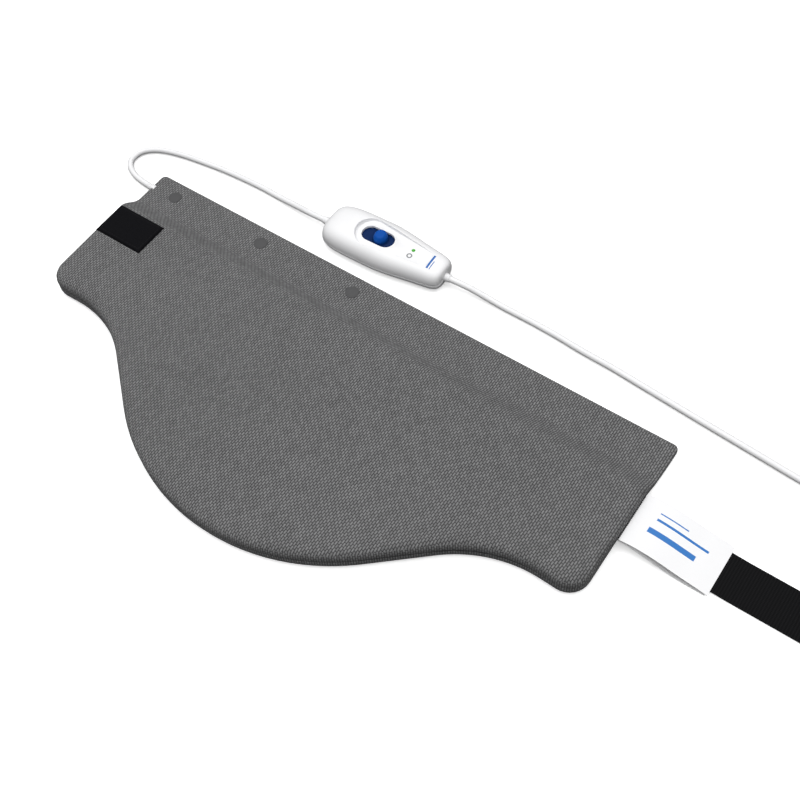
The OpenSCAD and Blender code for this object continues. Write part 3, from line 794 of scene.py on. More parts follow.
FINISHES: dict[str, Finish] = {
    "cloth_grey": RibbedCloth("Ribbed grey cloth", (0.147, 0.147, 0.149), 0.9),
    "cap_grey": Moulded("Grey cap enamel", (0.078, 0.078, 0.08), 0.65, depth=0.02, shine=0.2),
    "nickel": Plated("Nickel plate", (0.62, 0.61, 0.58), 0.28),
    "foil_clear": Film("Clear foil", (0.78, 0.82, 0.84), 0.25),
    "wadding": Fibrous("White wadding", (0.8, 0.8, 0.76), 0.95, scale=260.0, depth=1.2),
    "felt": Fibrous("Cream felt", (0.72, 0.67, 0.53), 0.95, scale=700.0, depth=0.5),
    "wire_silicone": Moulded("Red silicone sheath", (0.36, 0.03, 0.02), 0.55, depth=0.02),
    "ceramic": Moulded("Glazed ceramic", (0.62, 0.52, 0.38), 0.35, grain=500.0, coat=0.4),
    "nylon_white": Moulded("White nylon", (0.78, 0.78, 0.74), 0.5),
    "cord_white": Moulded("White cord sheath", (0.86, 0.86, 0.87), 0.38, grain=700.0, depth=0.02),
    "patch_black": Fibrous("Black pile", (0.004, 0.004, 0.005), 0.95, scale=1300.0, depth=0.5),
    "thread_black": Tape("Black thread", (0.008, 0.008, 0.009), 0.7, rib=0.0009, depth=0.15),
    "strap_black": Tape("Black webbing", (0.003, 0.003, 0.0035), 0.9),
    "label_white": PrintedLabel(
        "White satin label",
        (0.86, 0.86, 0.87),
        0.5,
        bars=(
            (0.2740, 0.3120, 0.0485, 0.0530),
            (0.2760, 0.3180, 0.0600, 0.0620),
            (0.2760, 0.2990, 0.0660, 0.0670),
        ),
    ),
    "shell_white": Moulded(
        "White controller shell", (0.86, 0.86, 0.87), 0.33, depth=0.012, coat=0.15
    ),
    # The slider's colour carries painted shade low in its well and painted light on the knob's top.
    "slider_blue": Moulded(
        "Blue slider", (0.001, 0.055, 0.28), 0.45,
        depth=0.015, shine=0.12, painted_shade_heights=(0.018, 0.0225),
    ),
    "nylon_dark": Moulded("Dark nylon", (0.03, 0.03, 0.033), 0.5),
    "board_green": Moulded(
        "Green solder resist", (0.015, 0.11, 0.04), 0.35, grain=1500.0, coat=0.3
    ),
    "lamp_green": Moulded("Green lamp", (0.045, 0.36, 0.015), 0.35, depth=0.005, glow=0.08),
    "aluminium": Plated("Brushed aluminium", (0.7, 0.7, 0.71), 0.35),
    "capacitor_box": Moulded("Amber capacitor box", (0.5, 0.3, 0.05), 0.4),
    "terminal_green": Moulded("Green terminal", (0.06, 0.3, 0.1), 0.5),
    "steel": Plated("Zinc plated steel", (0.5, 0.5, 0.52), 0.32),
    "tie_dark": Moulded("Dark moulding", (0.02, 0.02, 0.022), 0.5),
    "plug_white": Moulded("White plug", (0.86, 0.86, 0.86), 0.35, depth=0.02, coat=0.1),
}
PRINT_GREY = Moulded("Grey print", (0.19, 0.2, 0.21), 0.5)
PRINT_BLUE = Moulded("Blue print", (0.01, 0.12, 0.42), 0.45)


def dress(
    obj: bpy.types.Object,
    body: Body | None,
    slot: str,
    replaces: Iterable[str] = (),
    finish: Finish | None = None,
) -> bpy.types.Object:
    """Gives a piece its finish and its body, and hides the CAD nodes that it stands for.

    Args:
        obj: the piece.
        body: the body it rides on, or None when it bends between two.
        slot: the record's material slot.
        replaces: CAD nodes that it stands for.
        finish: a finish other than the slot's own.

    Returns:
        The same piece.
    """
    obj.data.materials.clear()
    obj.data.materials.append((finish or FINISHES[slot]).material())
    if replaces:
        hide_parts(*replaces)
    if body is not None:
        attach(obj, body.value)
    LOG.info("piece %s: %d faces, finish %s", obj.name, len(obj.data.polygons), slot)
    return obj


# ---------------------------------------------------------------- studio


@dataclass
class Studio:
    """Camera, light and floor."""

    eye: tuple[float, float, float] = (0.35904, -0.31244, 0.75256)
    target: tuple[float, float, float] = (0.05708, 0.04871, 0.0)
    roll: float = -5.856
    lens: float = 50.415
    sensor: float = 36.0
    sky_top: float = 2.5
    sky_edge: float = 0.04
    sky_fall: float = 2.8
    lamp_place: tuple[float, float, float] = (-0.35, 0.1, 1.6)
    lamp_aim: tuple[float, float, float] = (0.0, 0.05, 0.0)
    lamp_size: tuple[float, float] = (1.2, 0.8)
    lamp_power: float = 3.0
    floor_half: float = 6.0
    floor_height: float = -0.0004
    floor_seen: float = 0.96
    floor_thrown: float = 0.1
    floor_lift: float = 0.4

    def camera(self) -> None:
        """Makes the camera and the plain colour view."""
        data = bpy.data.cameras.new("camera")
        data.lens = self.lens
        data.sensor_width = self.sensor
        data.clip_start, data.clip_end = 0.02, 50.0
        cam = bpy.data.objects.new("camera", data)
        scene = bpy.context.scene
        scene.collection.objects.link(cam)
        ahead = (Vector(self.target) - Vector(self.eye)).normalized()
        side = ahead.cross(Vector(UPWARDS)).normalized()
        up = side.cross(ahead)
        a = math.radians(self.roll)
        right = math.cos(a) * side + math.sin(a) * up
        lift = right.cross(ahead)
        turned = Matrix((right, lift, -ahead)).transposed().to_4x4()
        cam.matrix_world = Matrix.Translation(self.eye) @ turned
        scene.camera = cam
        scene.view_settings.view_transform = "Standard"

    def light(self) -> None:
        """Makes a soft sky that is brighter overhead, and one large soft lamp."""
        world = bpy.data.worlds.new("studio")
        bpy.context.scene.world = world
        world.use_nodes = True
        g = Graph(world.node_tree)
        back = world.node_tree.nodes["Background"]
        height = g.split(g.add("ShaderNodeTexCoord").outputs["Generated"])[2]
        height = g.math("POWER", g.math("MAXIMUM", height, 0.0), self.sky_fall)
        level = g.math("ADD", g.times(height, self.sky_top - self.sky_edge), self.sky_edge)
        ray = g.add("ShaderNodeLightPath")
        level = g.math("MAXIMUM", level, ray.outputs["Is Camera Ray"])
        back.inputs["Color"].default_value = (1, 1, 1, 1)
        g.plug(level, back.inputs["Strength"])
        data = bpy.data.lights.new("softbox", "AREA")
        data.shape = "RECTANGLE"
        data.size, data.size_y = self.lamp_size
        data.energy = self.lamp_power
        lamp = bpy.data.objects.new("softbox", data)
        lamp.location = self.lamp_place
        ahead = Vector(self.lamp_aim) - Vector(self.lamp_place)
        lamp.rotation_euler = ahead.to_track_quat("-Z", "Y").to_euler()
        bpy.context.scene.collection.objects.link(lamp)

    def floor(self) -> None:
        """Makes the plain pale floor, which looks lighter than the light it throws back."""
        mesh = bpy.data.meshes.new("floor")
        half = self.floor_half
        corners = [(-half, -half), (half, -half), (half, half), (-half, half)]
        mesh.from_pydata([(x, y, self.floor_height) for x, y in corners], [], [(0, 1, 2, 3)])
        obj = bpy.data.objects.new("floor", mesh)
        bpy.context.scene.collection.objects.link(obj)
        mat = bpy.data.materials.new("Pale floor")
        mat.use_nodes = True
        g = MaterialGraph(mat.node_tree)
        seen = g.add("ShaderNodeLightPath").outputs["Is Camera Ray"]
        thrown, pale = [(*[tone] * 3, 1) for tone in (self.floor_thrown, self.floor_seen)]
        g.feed(
            Base_Color=g.blend(seen, thrown, pale),
            Roughness=1.0,
            Specular_IOR_Level=0.0,
            Emission_Color=(1, 1, 1, 1),
            Emission_Strength=g.times(seen, self.floor_lift),
        )
        mesh.materials.append(mat)


# ---------------------------------------------------------------- cords and plug


@dataclass
class Cords:
    """The pad's lead, the mains lead with its coil of spare length, and the plug."""

    diameter: float = 5.6
    lie: float = 2.9
    coil_middle: tuple[float, float] = (430.0, 119.0)
    coil_radius: float = 31.0
    coil_turns: int = 7
    plug_start: tuple[float, float, float] = (566.0, 152.0, 7.1)
    relief: float = 30.0
    plug_length: float = 34.0
    plug_width: float = 35.0
    plug_height: float = 14.0
    neck_width: float = 13.0
    neck_height: float = 12.0
    pin_pitch: float = 18.6
    pin_length: float = 19.0
    pin_diameter: float = 4.0
    pin_root: float = 4.0
    sleeve: float = 10.0

    def lead_route(self) -> np.ndarray:
        """The lead from the flap's left end to the controller's wide end.

        Returns:
            The route's points, in mm.
        """
        z = self.lie
        return smooth_curve(
            [
                (-265, 111, 3.1), (-275, 112, 3.0), (-285, 114, z), (-295, 119, z),
                (-301, 127, z), (-300, 138.5, z), (-292, 147, z), (-280, 152.6, z),
                (-262, 157, z), (-242, 160, z), (-220, 162.6, z), (-198, 164, z),
                (-176, 164.6, z), (-154, 163.8, 3.2), (-132, 162.3, 5.6), (-118, 160.8, 7.8),
                (-104.5, 160.8, 8.5), (-99.5, 161.0, 8.5),
            ],
            5,
        )

    def mains_route(self) -> np.ndarray:
        """The mains lead from the controller through its coil to the plug's relief.

        Returns:
            The route's points, in mm.
        """
        z = self.lie
        points = [
            (25.5, 165.4, 8.5), (30.5, 165.6, 8.5), (46, 167, 7.4), (62, 168, 4.6), (80, 168, 3.1),
            (104, 168, z), (130, 167, z), (156, 165, z), (182, 164, z), (208, 162, z),
            (234, 160, z), (260, 158, z), (288, 156, z), (316, 154, z), (344, 152, z),
            (372, 151, z), (396, 150, z), (414, 150, z),
        ]
        per_turn = 24
        x, y = self.coil_middle
        for i in range(self.coil_turns * per_turn + 1):
            a = math.radians(90 - 360 * i / per_turn)
            reach, lift = self.coil_radius, self.diameter * i / per_turn
            points.append((x + reach * math.cos(a), y + reach * math.sin(a), z + lift))
        points += [
            (446, 150, 42), (462, 151, 36), (480, 152, 27), (498, 152, 18), (516, 152, 11),
            (536, 152, 7.1), (538, 152, 7.1),
        ]
        return smooth_curve(points, 3)

    def tube(self, name: str, path: np.ndarray) -> bpy.types.Object:
        """A round cord along a path in mm.

        Args:
            name: the piece's name.
            path: the path's points, in mm.

        Returns:
            The cord's object.
        """
        a = np.linspace(0, 2 * math.pi, 14, endpoint=False)
        section = np.stack([np.cos(a), np.sin(a)], axis=1) * self.diameter / 2
        surface = Surface()
        surface.sweep(path, section)
        return surface.object(name)

    def build(self) -> None:
        """Builds both cords, the coil's tie, the plug and its pins."""
        lead_path = self.lead_route()
        lead = dress(self.tube("pad_lead_cord", lead_path), Body.PAD, "cord_white", ["pad_lead"])
        mains_path = self.mains_route()
        nodes = ["mains_cord", "cord_coil", "plug_tail"]
        mains = dress(self.tube("mains_lead_cord", mains_path), Body.PAD, "cord_white", nodes)
        pieces = [self.tie(), self.strain_relief(), self.plug(), self.pins(), self.sleeves()]

    def tie(self) -> bpy.types.Object:
        """A soft band round the coil's turns.

        Returns:
            The band.
        """
        x, y = self.coil_middle[0], self.coil_middle[1] - self.coil_radius
        low, high = 0.35, self.lie + (self.coil_turns + 0.5) * self.diameter + 0.4
        loop = rounded_box(self.diameter + 1.4, high - low, 2.4, 6)
        middle = (low + high) / 2
        path = np.array([(x, y + p[0], middle + p[1]) for p in np.vstack([loop, loop[:3]])])
        surface = Surface()
        surface.sweep(path, rounded_box(6.0, 0.9, 0.35, 2)[:, ::-1], up=(1, 0, 0), ends=True)
        return dress(surface.object("coil_tie_band"), Body.PAD, "tie_dark", ["cord_tie"])

    def strain_relief(self) -> bpy.types.Object:
        """The tapered, ribbed relief on the plug's end of the lead.

        Returns:
            The relief.
        """
        x, y, z = self.plug_start
        profile = [(0.0, self.diameter / 2 - 0.1), (0.0, 3.4), (1.0, 3.6)]
        ribs = 7
        wide = (self.relief - 6.0) / ribs
        for i in range(ribs):
            at, r = 2.0 + i * wide, 3.6 + 1.7 * i / ribs
            for share, lift in ((0.0, 0.0), (0.55, 0.15), (0.62, -0.55), (0.93, -0.5)):
                profile.append((at + wide * share, r + lift))
        profile += [(self.relief - 3.6, 5.3), (self.relief, 5.5)]
        surface = Surface()
        surface.lathe((x - self.relief, y, z), (1, 0, 0), profile, 28)
        piece = surface.object("plug_relief_sleeve")
        return dress(piece, Body.PAD, "cord_white", ["plug_strain_relief"])

    def plug(self) -> bpy.types.Object:
        """The flat two-pin plug with finger grooves on both faces.

        Returns:
            The plug.
        """
        x, y, z = self.plug_start
        n = 22
        sections, path = [], []
        for i in range(n + 1):
            t = i / n
            wide = self.neck_width
            wide += (self.plug_width - self.neck_width) * min(1.0, (t / 0.55)) ** 0.75
            high = self.neck_height + (self.plug_height - self.neck_height) * min(1.0, t / 0.3)
            edge = max(0.0, 1 - (1 - t) / 0.06) if t > 0.94 else 0.0
            grip = 0.7 * math.sin(math.pi * (t - 0.35) / 0.1) ** 2 if 0.35 < t < 0.75 else 0.0
            corner = min(5.2, high / 2 - 0.9)
            sections.append(rounded_box(wide - 2.0 * edge, high - 2.0 * edge - grip, corner, 6))
            path.append((x + self.plug_length * t, y, z))
        surface = Surface()
        surface.sweep(np.array(path), np.array(sections))
        return dress(surface.object("plug_moulding"), Body.PAD, "plug_white", ["plug_body"])

    def pins(self) -> bpy.types.Object:
        """Both pins with round tips.

        Returns:
            The pins.
        """
        x, y, z = self.plug_start
        r, tip_r, neck = self.pin_diameter / 2, 1.6, self.pin_diameter / 2 - 0.4
        end, bare = self.pin_root + self.pin_length, self.pin_root + self.sleeve
        profile = [(0, neck), (bare - 0.02, neck), (bare, r)]
        for a in np.linspace(0, 1.45, 6):
            profile.append((end - tip_r * (1 - math.sin(a)), r - tip_r * (1 - math.cos(a))))
        surface = Surface()
        for s in (-1, 1):
            start = (x + self.plug_length - self.pin_root, y + s * self.pin_pitch / 2, z)
            surface.lathe(start, (1, 0, 0), profile, 20)
        return dress(surface.object("plug_pin_pair"), Body.PAD, "nickel", ["plug_pins"])

    def sleeves(self) -> bpy.types.Object:
        """The insulating sleeves at the pins' roots.

        Returns:
            The sleeves.
        """
        x, y, z = self.plug_start
        r = self.pin_diameter / 2 - 0.1
        profile = [(0, r + 0.25), (0.9, r + 0.2), (1.2, r), (self.sleeve + 0.3, r)]
        surface = Surface()
        for s in (-1, 1):
            start = (x + self.plug_length - 0.4, y + s * self.pin_pitch / 2, z)
            surface.lathe(start, (1, 0, 0), profile, 20)
        return dress(surface.object("pin_sleeve_pair"), Body.PAD, "tie_dark", ["pin_sleeves"])


# ---------------------------------------------------------------- padded cover


@dataclass
class PadCover:
    """The padded cover: an outline with a round belly, a thick body and a thin flap."""

    length: float = 520.0
    depth: float = 254.0
    side_depth: float = 149.0
    thickness: float = 19.4
    side_run: float = 32.0
    flank_steep: float = 0.83
    front_radius: float = 18.0
    back_radius: float = 4.0
    rim_top: float = 6.0
    rim_low: float = 4.0
    flap_width: float = 34.0
    flap_thickness: float = 5.0
    ramp_width: float = 22.0
    seam_height: float = 9.6
    thin_rim_top: float = 1.4
    thin_rim_low: float = 1.6
    flap_spread: float = 0.9
    flank_share: float = 0.38
    floor_gap: float = 0.25
    spacing: float = 3.4
    mesh_step: float = 4.6
    edge_room: float = 2.4
    swell_limit: float = 1.1
    swell_frames: int = 20
    fill: float = 0.45
    upper_from: float = 3.0
    out_of_reach: float = 900.0
    puffed: np.ndarray = field(default_factory=lambda: np.zeros((0, 3)))
    tree: kdtree.KDTree | None = None

    def rise(self, y: np.ndarray | float) -> np.ndarray:
        """How far the ramp has risen at a depth y: 0 on the flap, 1 on the body."""
        return smooth((self.depth / 2 - self.flap_width - np.asarray(y)) / self.ramp_width)

    def top(self, y: np.ndarray | float) -> np.ndarray:
        """Height of the upper face at a depth y, in mm."""
        return self.flap_thickness + (self.thickness - self.flap_thickness) * self.rise(y)

    def outline(self) -> tuple[np.ndarray, np.ndarray]:
        """The pad's outline.

        Returns:
            Points in mm, anticlockwise from the flap's right end, and their outward normals.
        """
        half_l, half_d = self.length / 2, self.depth / 2
        side_y = half_d - self.side_depth
        flank_x = half_l - self.side_run
        drop = self.depth - self.side_depth
        turn = 2 * math.degrees(math.atan(drop / flank_x)) * self.flank_steep
        a = math.radians(turn)
        both = (flank_x * math.sin(a) - drop * math.cos(a)) / (1 - math.cos(a))
        flank_r = both * self.flank_share
        belly_r = both - flank_r
        br, fr = self.back_radius, self.front_radius
        pts: list[tuple[float, float]] = []
        nrm: list[tuple[float, float]] = []

        def arc(
            cx: float, cy: float, r: float, a0: float, a1: float, inward: bool, least: int
        ) -> None:
            """Adds an arc.

            Args:
                cx: its middle in X, in mm.
                cy: its middle in Y, in mm.
                r: its radius.
                a0: angle of its start, in degrees.
                a1: angle of its end.
                inward: whether the pad lies outside the circle.
                least: fewest spans.
            """
            n = max(least, int(abs(math.radians(a1 - a0)) * r / self.spacing))
            for i in range(n + 1):
                t = math.radians(a0 + (a1 - a0) * i / n)
                c, s = math.cos(t), math.sin(t)
                pts.append((cx + r * c, cy + r * s))
                nrm.append((-c, -s) if inward else (c, s))

        def line(x0: float, y0: float, x1: float, y1: float, nx: float, ny: float) -> None:
            """Adds the inner points of a straight edge.

            Args:
                x0: its start in X, in mm.
                y0: its start in Y.
                x1: its end in X.
                y1: its end in Y.
                nx: its outward normal in X.
                ny: its outward normal in Y.
            """
            n = max(2, int(math.hypot(x1 - x0, y1 - y0) / self.spacing))
            for i in range(1, n):
                t = i / n
                pts.append((x0 + (x1 - x0) * t, y0 + (y1 - y0) * t))
                nrm.append((nx, ny))

        arc(half_l - br, half_d - br, br, 0, 90, False, 6)
        line(half_l - br, half_d, br - half_l, half_d, 0, 1)
        arc(br - half_l, half_d - br, br, 90, 180, False, 6)
        line(-half_l, half_d - br, -half_l, side_y + fr, -1, 0)
        arc(fr - half_l, side_y + fr, fr, 180, 270, False, 8)
        line(fr - half_l, side_y, -flank_x, side_y, 0, -1)
        arc(-flank_x, side_y - flank_r, flank_r, 90, 90 - turn, True, 8)
        arc(0, belly_r - half_d, belly_r, 270 - turn, 270 + turn, False, 8)
        arc(flank_x, side_y - flank_r, flank_r, 90 + turn, 90, True, 8)
        line(flank_x, side_y, half_l - fr, side_y, 0, -1)
        arc(half_l - fr, side_y + fr, fr, 270, 360, False, 8)
        line(half_l, side_y + fr, half_l, half_d - br, 1, 0)
        p, m = np.array(pts), np.array(nrm)
        keep = np.linalg.norm(p - np.roll(p, 1, axis=0), axis=1) > 0.01
        return p[keep], m[keep]

    def rings(self) -> tuple[np.ndarray, int]:
        """Rings of points round the rim from the lower face to the upper one.

        Returns:
            Points as rings, samples and 3 coordinates in mm, and the seam ring's index.
        """
        p, m = self.outline()
        rise = self.rise(p[:, 1])
        high = self.top(p[:, 1])
        low_r = self.thin_rim_low + (self.rim_low - self.thin_rim_low) * rise
        top_r = self.thin_rim_top + (self.rim_top - self.thin_rim_top) * rise
        spread = self.flap_spread * (1 - rise)
        base = self.floor_gap
        seam = self.flap_thickness / 2 + (self.seam_height - self.flap_thickness / 2) * rise
        room = np.clip((high - low_r - top_r - base) / 7.0, 0.02, 1.0)
        out: list[tuple[np.ndarray, np.ndarray]] = []
        for t in np.radians([0, 24, 48, 70]):
            out.append((low_r * (1 - math.sin(t)), base + low_r * (1 - math.cos(t))))
        out.append((0 * low_r, base + low_r))
        for off, dip in ((-1.7, 0.0), (-0.7, 0.3), (0.0, 1.1)):
            out.append((dip * np.clip(rise, 0.35, 1), seam + off * room))
        seam_ring = len(out) - 1
        for off, dip in ((0.7, 0.3), (1.7, 0.0)):
            out.append((dip * np.clip(rise, 0.35, 1), seam + off * room))
        for t in np.radians([0, 20, 40, 60, 78, 90]):
            out.append((top_r * (1 - math.cos(t)), high - top_r + top_r * math.sin(t)))
        rows = []
        for inset, z in out:
            flat = p - m * np.broadcast_to(inset - spread, z.shape)[:, None]
            rows.append(np.column_stack([flat, z]))
        return np.array(rows), seam_ring

    @staticmethod
    def within(places: np.ndarray, edge: np.ndarray) -> np.ndarray:
        """Which places lie inside a closed outline.

        Args:
            places: points to test, one row each.
            edge: the outline's points in order.

        Returns:
            One true or false for each place.
        """
        inner = np.zeros(len(places), bool)
        for (x0, y0), (x1, y1) in zip(edge, np.roll(edge, -1, axis=0)):
            cross = (y0 > places[:, 1]) != (y1 > places[:, 1])
            if cross.any():
                slope = (x1 - x0) / (y1 - y0 + 1e-12)
                inner ^= cross & (places[:, 0] < x0 + (places[:, 1] - y0) * slope)
        return inner

    def inside(
        self, ring: np.ndarray, side: Side
    ) -> tuple[np.ndarray, list[tuple[int, ...]]]:
        """Fills a ring with a fine triangle mesh.

        Args:
            ring: the ring's points in mm.
            side: which face of the pad it fills.

        Returns:
            The points, the ring's own first, and the triangles.
        """
        edge = ring[:, :2]
        step = self.mesh_step
        xs = np.arange(-self.length / 2, self.length / 2 + step, step)
        ramp_0 = self.depth / 2 - self.flap_width
        ys = np.concatenate(
            [
                np.arange(-self.depth / 2, ramp_0 - self.ramp_width - 1.2, step),
                np.linspace(ramp_0 - self.ramp_width, ramp_0, 12),
                np.arange(ramp_0 + step * 0.8, self.depth / 2, step),
            ]
        )
        gx, gy = np.meshgrid(xs, ys)
        gx = gx + (np.arange(len(ys)) % 2)[:, None] * step / 2
        cloud = np.column_stack([gx.ravel(), gy.ravel()])
        cloud = cloud[self.within(cloud, edge)]
        near = np.min([np.hypot(*(cloud - q).T) for q in edge], axis=0)
        cloud = cloud[near > self.edge_room]
        flat = [Vector(q) for q in np.vstack([edge, cloud])]
        rim = [(i, (i + 1) % len(edge)) for i in range(len(edge))]
        co, _, tris, *_ = geometry.delaunay_2d_cdt(flat, rim, [], 1, 1e-6, True)
        xy = np.array([tuple(c) for c in co])
        tris = [tuple(t) for t in tris]
        kept = self.within(xy[np.array(tris)].mean(axis=1), edge)
        z = self.top(xy[:, 1]) if side is Side.TOP else np.full(len(xy), self.floor_gap)
        return np.column_stack([xy, z]), [t for t, ok in zip(tris, kept) if ok]

    def shape(self) -> tuple[Surface, int]:
        """The whole closed cover.

        Returns:
            The surface and the number of its first faces that belong to the lower cloth.
        """
        rings, seam = self.rings()
        n = rings.shape[1]
        surface = Surface()
        around = run_length(np.vstack([rings[4], rings[4][:1]])) * MM
        climb = np.concatenate(
            [np.zeros((1, n)), np.cumsum(np.linalg.norm(np.diff(rings, axis=0), axis=2), axis=0)]
        ) * MM
        uv = np.zeros((len(rings), n + 1, 2))
        uv[:, :, 0] = around
        uv[:, :-1, 1] = climb
        uv[:, -1, 1] = climb[:, 0]
        pts, tris = self.inside(rings[0], Side.BOTTOM)
        first = surface.put(pts)
        for t in tris:
            surface.face([first + i for i in reversed(t)], [pts[i, :2] * MM for i in reversed(t)])
        surface.grid(rings[: seam + 1], uv[: seam + 1], closed=True)
        lower = len(surface.faces)
        rim = len(rings) - 4
        surface.grid(rings[seam : rim + 1], uv[seam : rim + 1], closed=True)
        flat = np.concatenate([rings[rim:, :, :2], rings[rim:, :1, :2]], axis=1) * MM
        surface.grid(rings[rim:], flat, closed=True)
        pts, tris = self.inside(rings[-1], Side.TOP)
        first = surface.put(pts)
        for t in tris:
            surface.face([first + i for i in t], [pts[i, :2] * MM for i in t])
        return surface, lower

    def swell(self, obj: bpy.types.Object) -> None:
        """Lets air pressure round the cover as cloth, then keeps a capped share of the move.

        Args:
            obj: the closed cover, changed in place.
        """
        start = np.array([v.co for v in obj.data.vertices])
        mod = obj.modifiers.new("Cloth", "CLOTH")
        cloth = mod.settings
        cloth.quality = 4
        cloth.mass = 0.3
        cloth.tension_stiffness = cloth.compression_stiffness = 40.0
        cloth.bending_stiffness = 6.0
        cloth.use_pressure = True
        cloth.uniform_pressure_force = 4.0
        cloth.effector_weights.gravity = 0.0
        mod.collision_settings.use_collision = False
        last = self.swell_frames
        mod.point_cache.frame_start, mod.point_cache.frame_end = 1, last
        scene = bpy.context.scene
        scene.frame_start, scene.frame_end = 1, last
        for f in range(1, last + 1):
            scene.frame_set(f)
        held = obj.evaluated_get(bpy.context.evaluated_depsgraph_get())
        end = np.array([v.co for v in held.data.vertices])
        obj.modifiers.remove(mod)
        scene.frame_set(1)
        move = end - start
        size = np.linalg.norm(move, axis=1, keepdims=True)
        limit = self.swell_limit * MM
        move = move / np.maximum(size, 1e-9) * limit * np.tanh(size / limit)
        move[:, 2] = np.maximum(move[:, 2], 0.0)
        half_d = self.depth / 2 * MM
        flap = smooth((half_d - start[:, 1]) / (self.flap_width * MM) - 0.35)
        move *= (0.15 + 0.85 * flap)[:, None]
        out = start + move
        out[:, 2] = np.maximum(out[:, 2], self.floor_gap * MM)
        obj.data.vertices.foreach_set("co", out.astype(np.float32).ravel())
        most = float(np.linalg.norm(out - start, axis=1).max()) / MM
        LOG.info("cover swelled by up to %.2f mm", most)

    def build(self) -> None:
        """Builds the cover, swells it and parts it at the seam."""
        surface, lower = self.shape()
        whole = surface.object("cover_whole", sharp=180.0, turn_out=False)
        whole.data.update()
        self.swell(whole)
        self.puffed = np.array([v.co for v in whole.data.vertices]) / MM
        self.tree = kdtree.KDTree(len(self.puffed))
        for i, co in enumerate(self.puffed):
            level = 0.0 if co[2] > self.upper_from else self.out_of_reach
            self.tree.insert((co[0], co[1], level), i)
        self.tree.balance()
        for side, name, node in (
            (Side.TOP, "cover_top_cloth", "cover_top"),
            (Side.BOTTOM, "cover_bottom_cloth", "cover_bottom"),
        ):
            piece = whole.copy()
            piece.data = whole.data.copy()
            piece.name = piece.data.name = name
            bpy.context.scene.collection.objects.link(piece)
            work = bmesh.new()
            work.from_mesh(piece.data)
            work.faces.ensure_lookup_table()
            gone = [f for f in work.faces if (f.index < lower) == (side is Side.TOP)]
            bmesh.ops.delete(work, geom=gone, context="FACES")
            work.to_mesh(piece.data)
            work.free()
            dress(piece, Body.PAD, "cloth_grey", [node])
        bpy.data.objects.remove(whole)

    def height(self, x: float, y: float) -> float:
        """Height of the swelled upper face at a place.

        Args:
            x: the place in X, in mm.
            y: the place in Y, in mm.

        Returns:
            The height in mm.
        """
        total, weight = 0.0, 0.0
        for _, index, distance in self.tree.find_n((x, y, 0.0), 4):
            w = 1.0 / (distance + 0.05)
            total += w * self.puffed[index, 2]
            weight += w
        return total / weight


@dataclass
class PressStuds:
    """The grey caps along the flap."""

    places: tuple[float, ...] = (-233.5, -134.5, -35.5)
    depth: float = 111.5
    diameter: float = 12.0
    proud: float = 1.4
    flap: float = 5.0

    def build(self) -> None:
        """Builds the domed caps with a rolled edge."""
        surface = Surface()
        r = self.diameter / 2
        profile = [(-0.6, r - 0.5), (0.0, r - 0.1), (0.35, r)]
        profile += [(0.75, r - 0.12), (0.95, r - 0.6), (0.9, r - 1.1)]
        profile += [
            (0.95 + (self.proud - 0.95) * math.sin(t), (r - 1.3) * math.cos(t))
            for t in np.linspace(0.05, 1.56, 7)
        ]
        for x in self.places:
            surface.lathe((x, self.depth, self.flap), (0, 0, 1), profile, 36, up=(0, 1, 0))
        dress(surface.object("press_stud_caps"), Body.PAD, "cap_grey", ["snap_caps"])


def stitches(
    surface: Surface,
    path: np.ndarray,
    lift: Point = (0, 0, 1),
    pitch: float = 2.6,
    length: float = 2.1,
    radius: float = 0.32,
) -> None:
    """Adds a row of short thread stitches along a path.

    Args:
        surface: the surface that they are added to.
        path: the row's points in mm.
        lift: direction out of the cloth.
        pitch: distance from stitch to stitch.
        length: length of one stitch.
        radius: thread radius.
    """
    along = run_length(path)
    for at in np.arange(pitch / 2, along[-1] - length / 2, pitch):
        a = np.array([np.interp(at - length / 2, along, path[:, i]) for i in range(3)])
        b = np.array([np.interp(at + length / 2, along, path[:, i]) for i in range(3)])
        profile = [
            (t * np.linalg.norm(b - a), radius * math.sqrt(max(1 - (2 * t - 1) ** 4, 0.0)))
            for t in np.linspace(0, 1, 6)
        ]
        surface.lathe(a, b - a, profile, 6, up=lift)


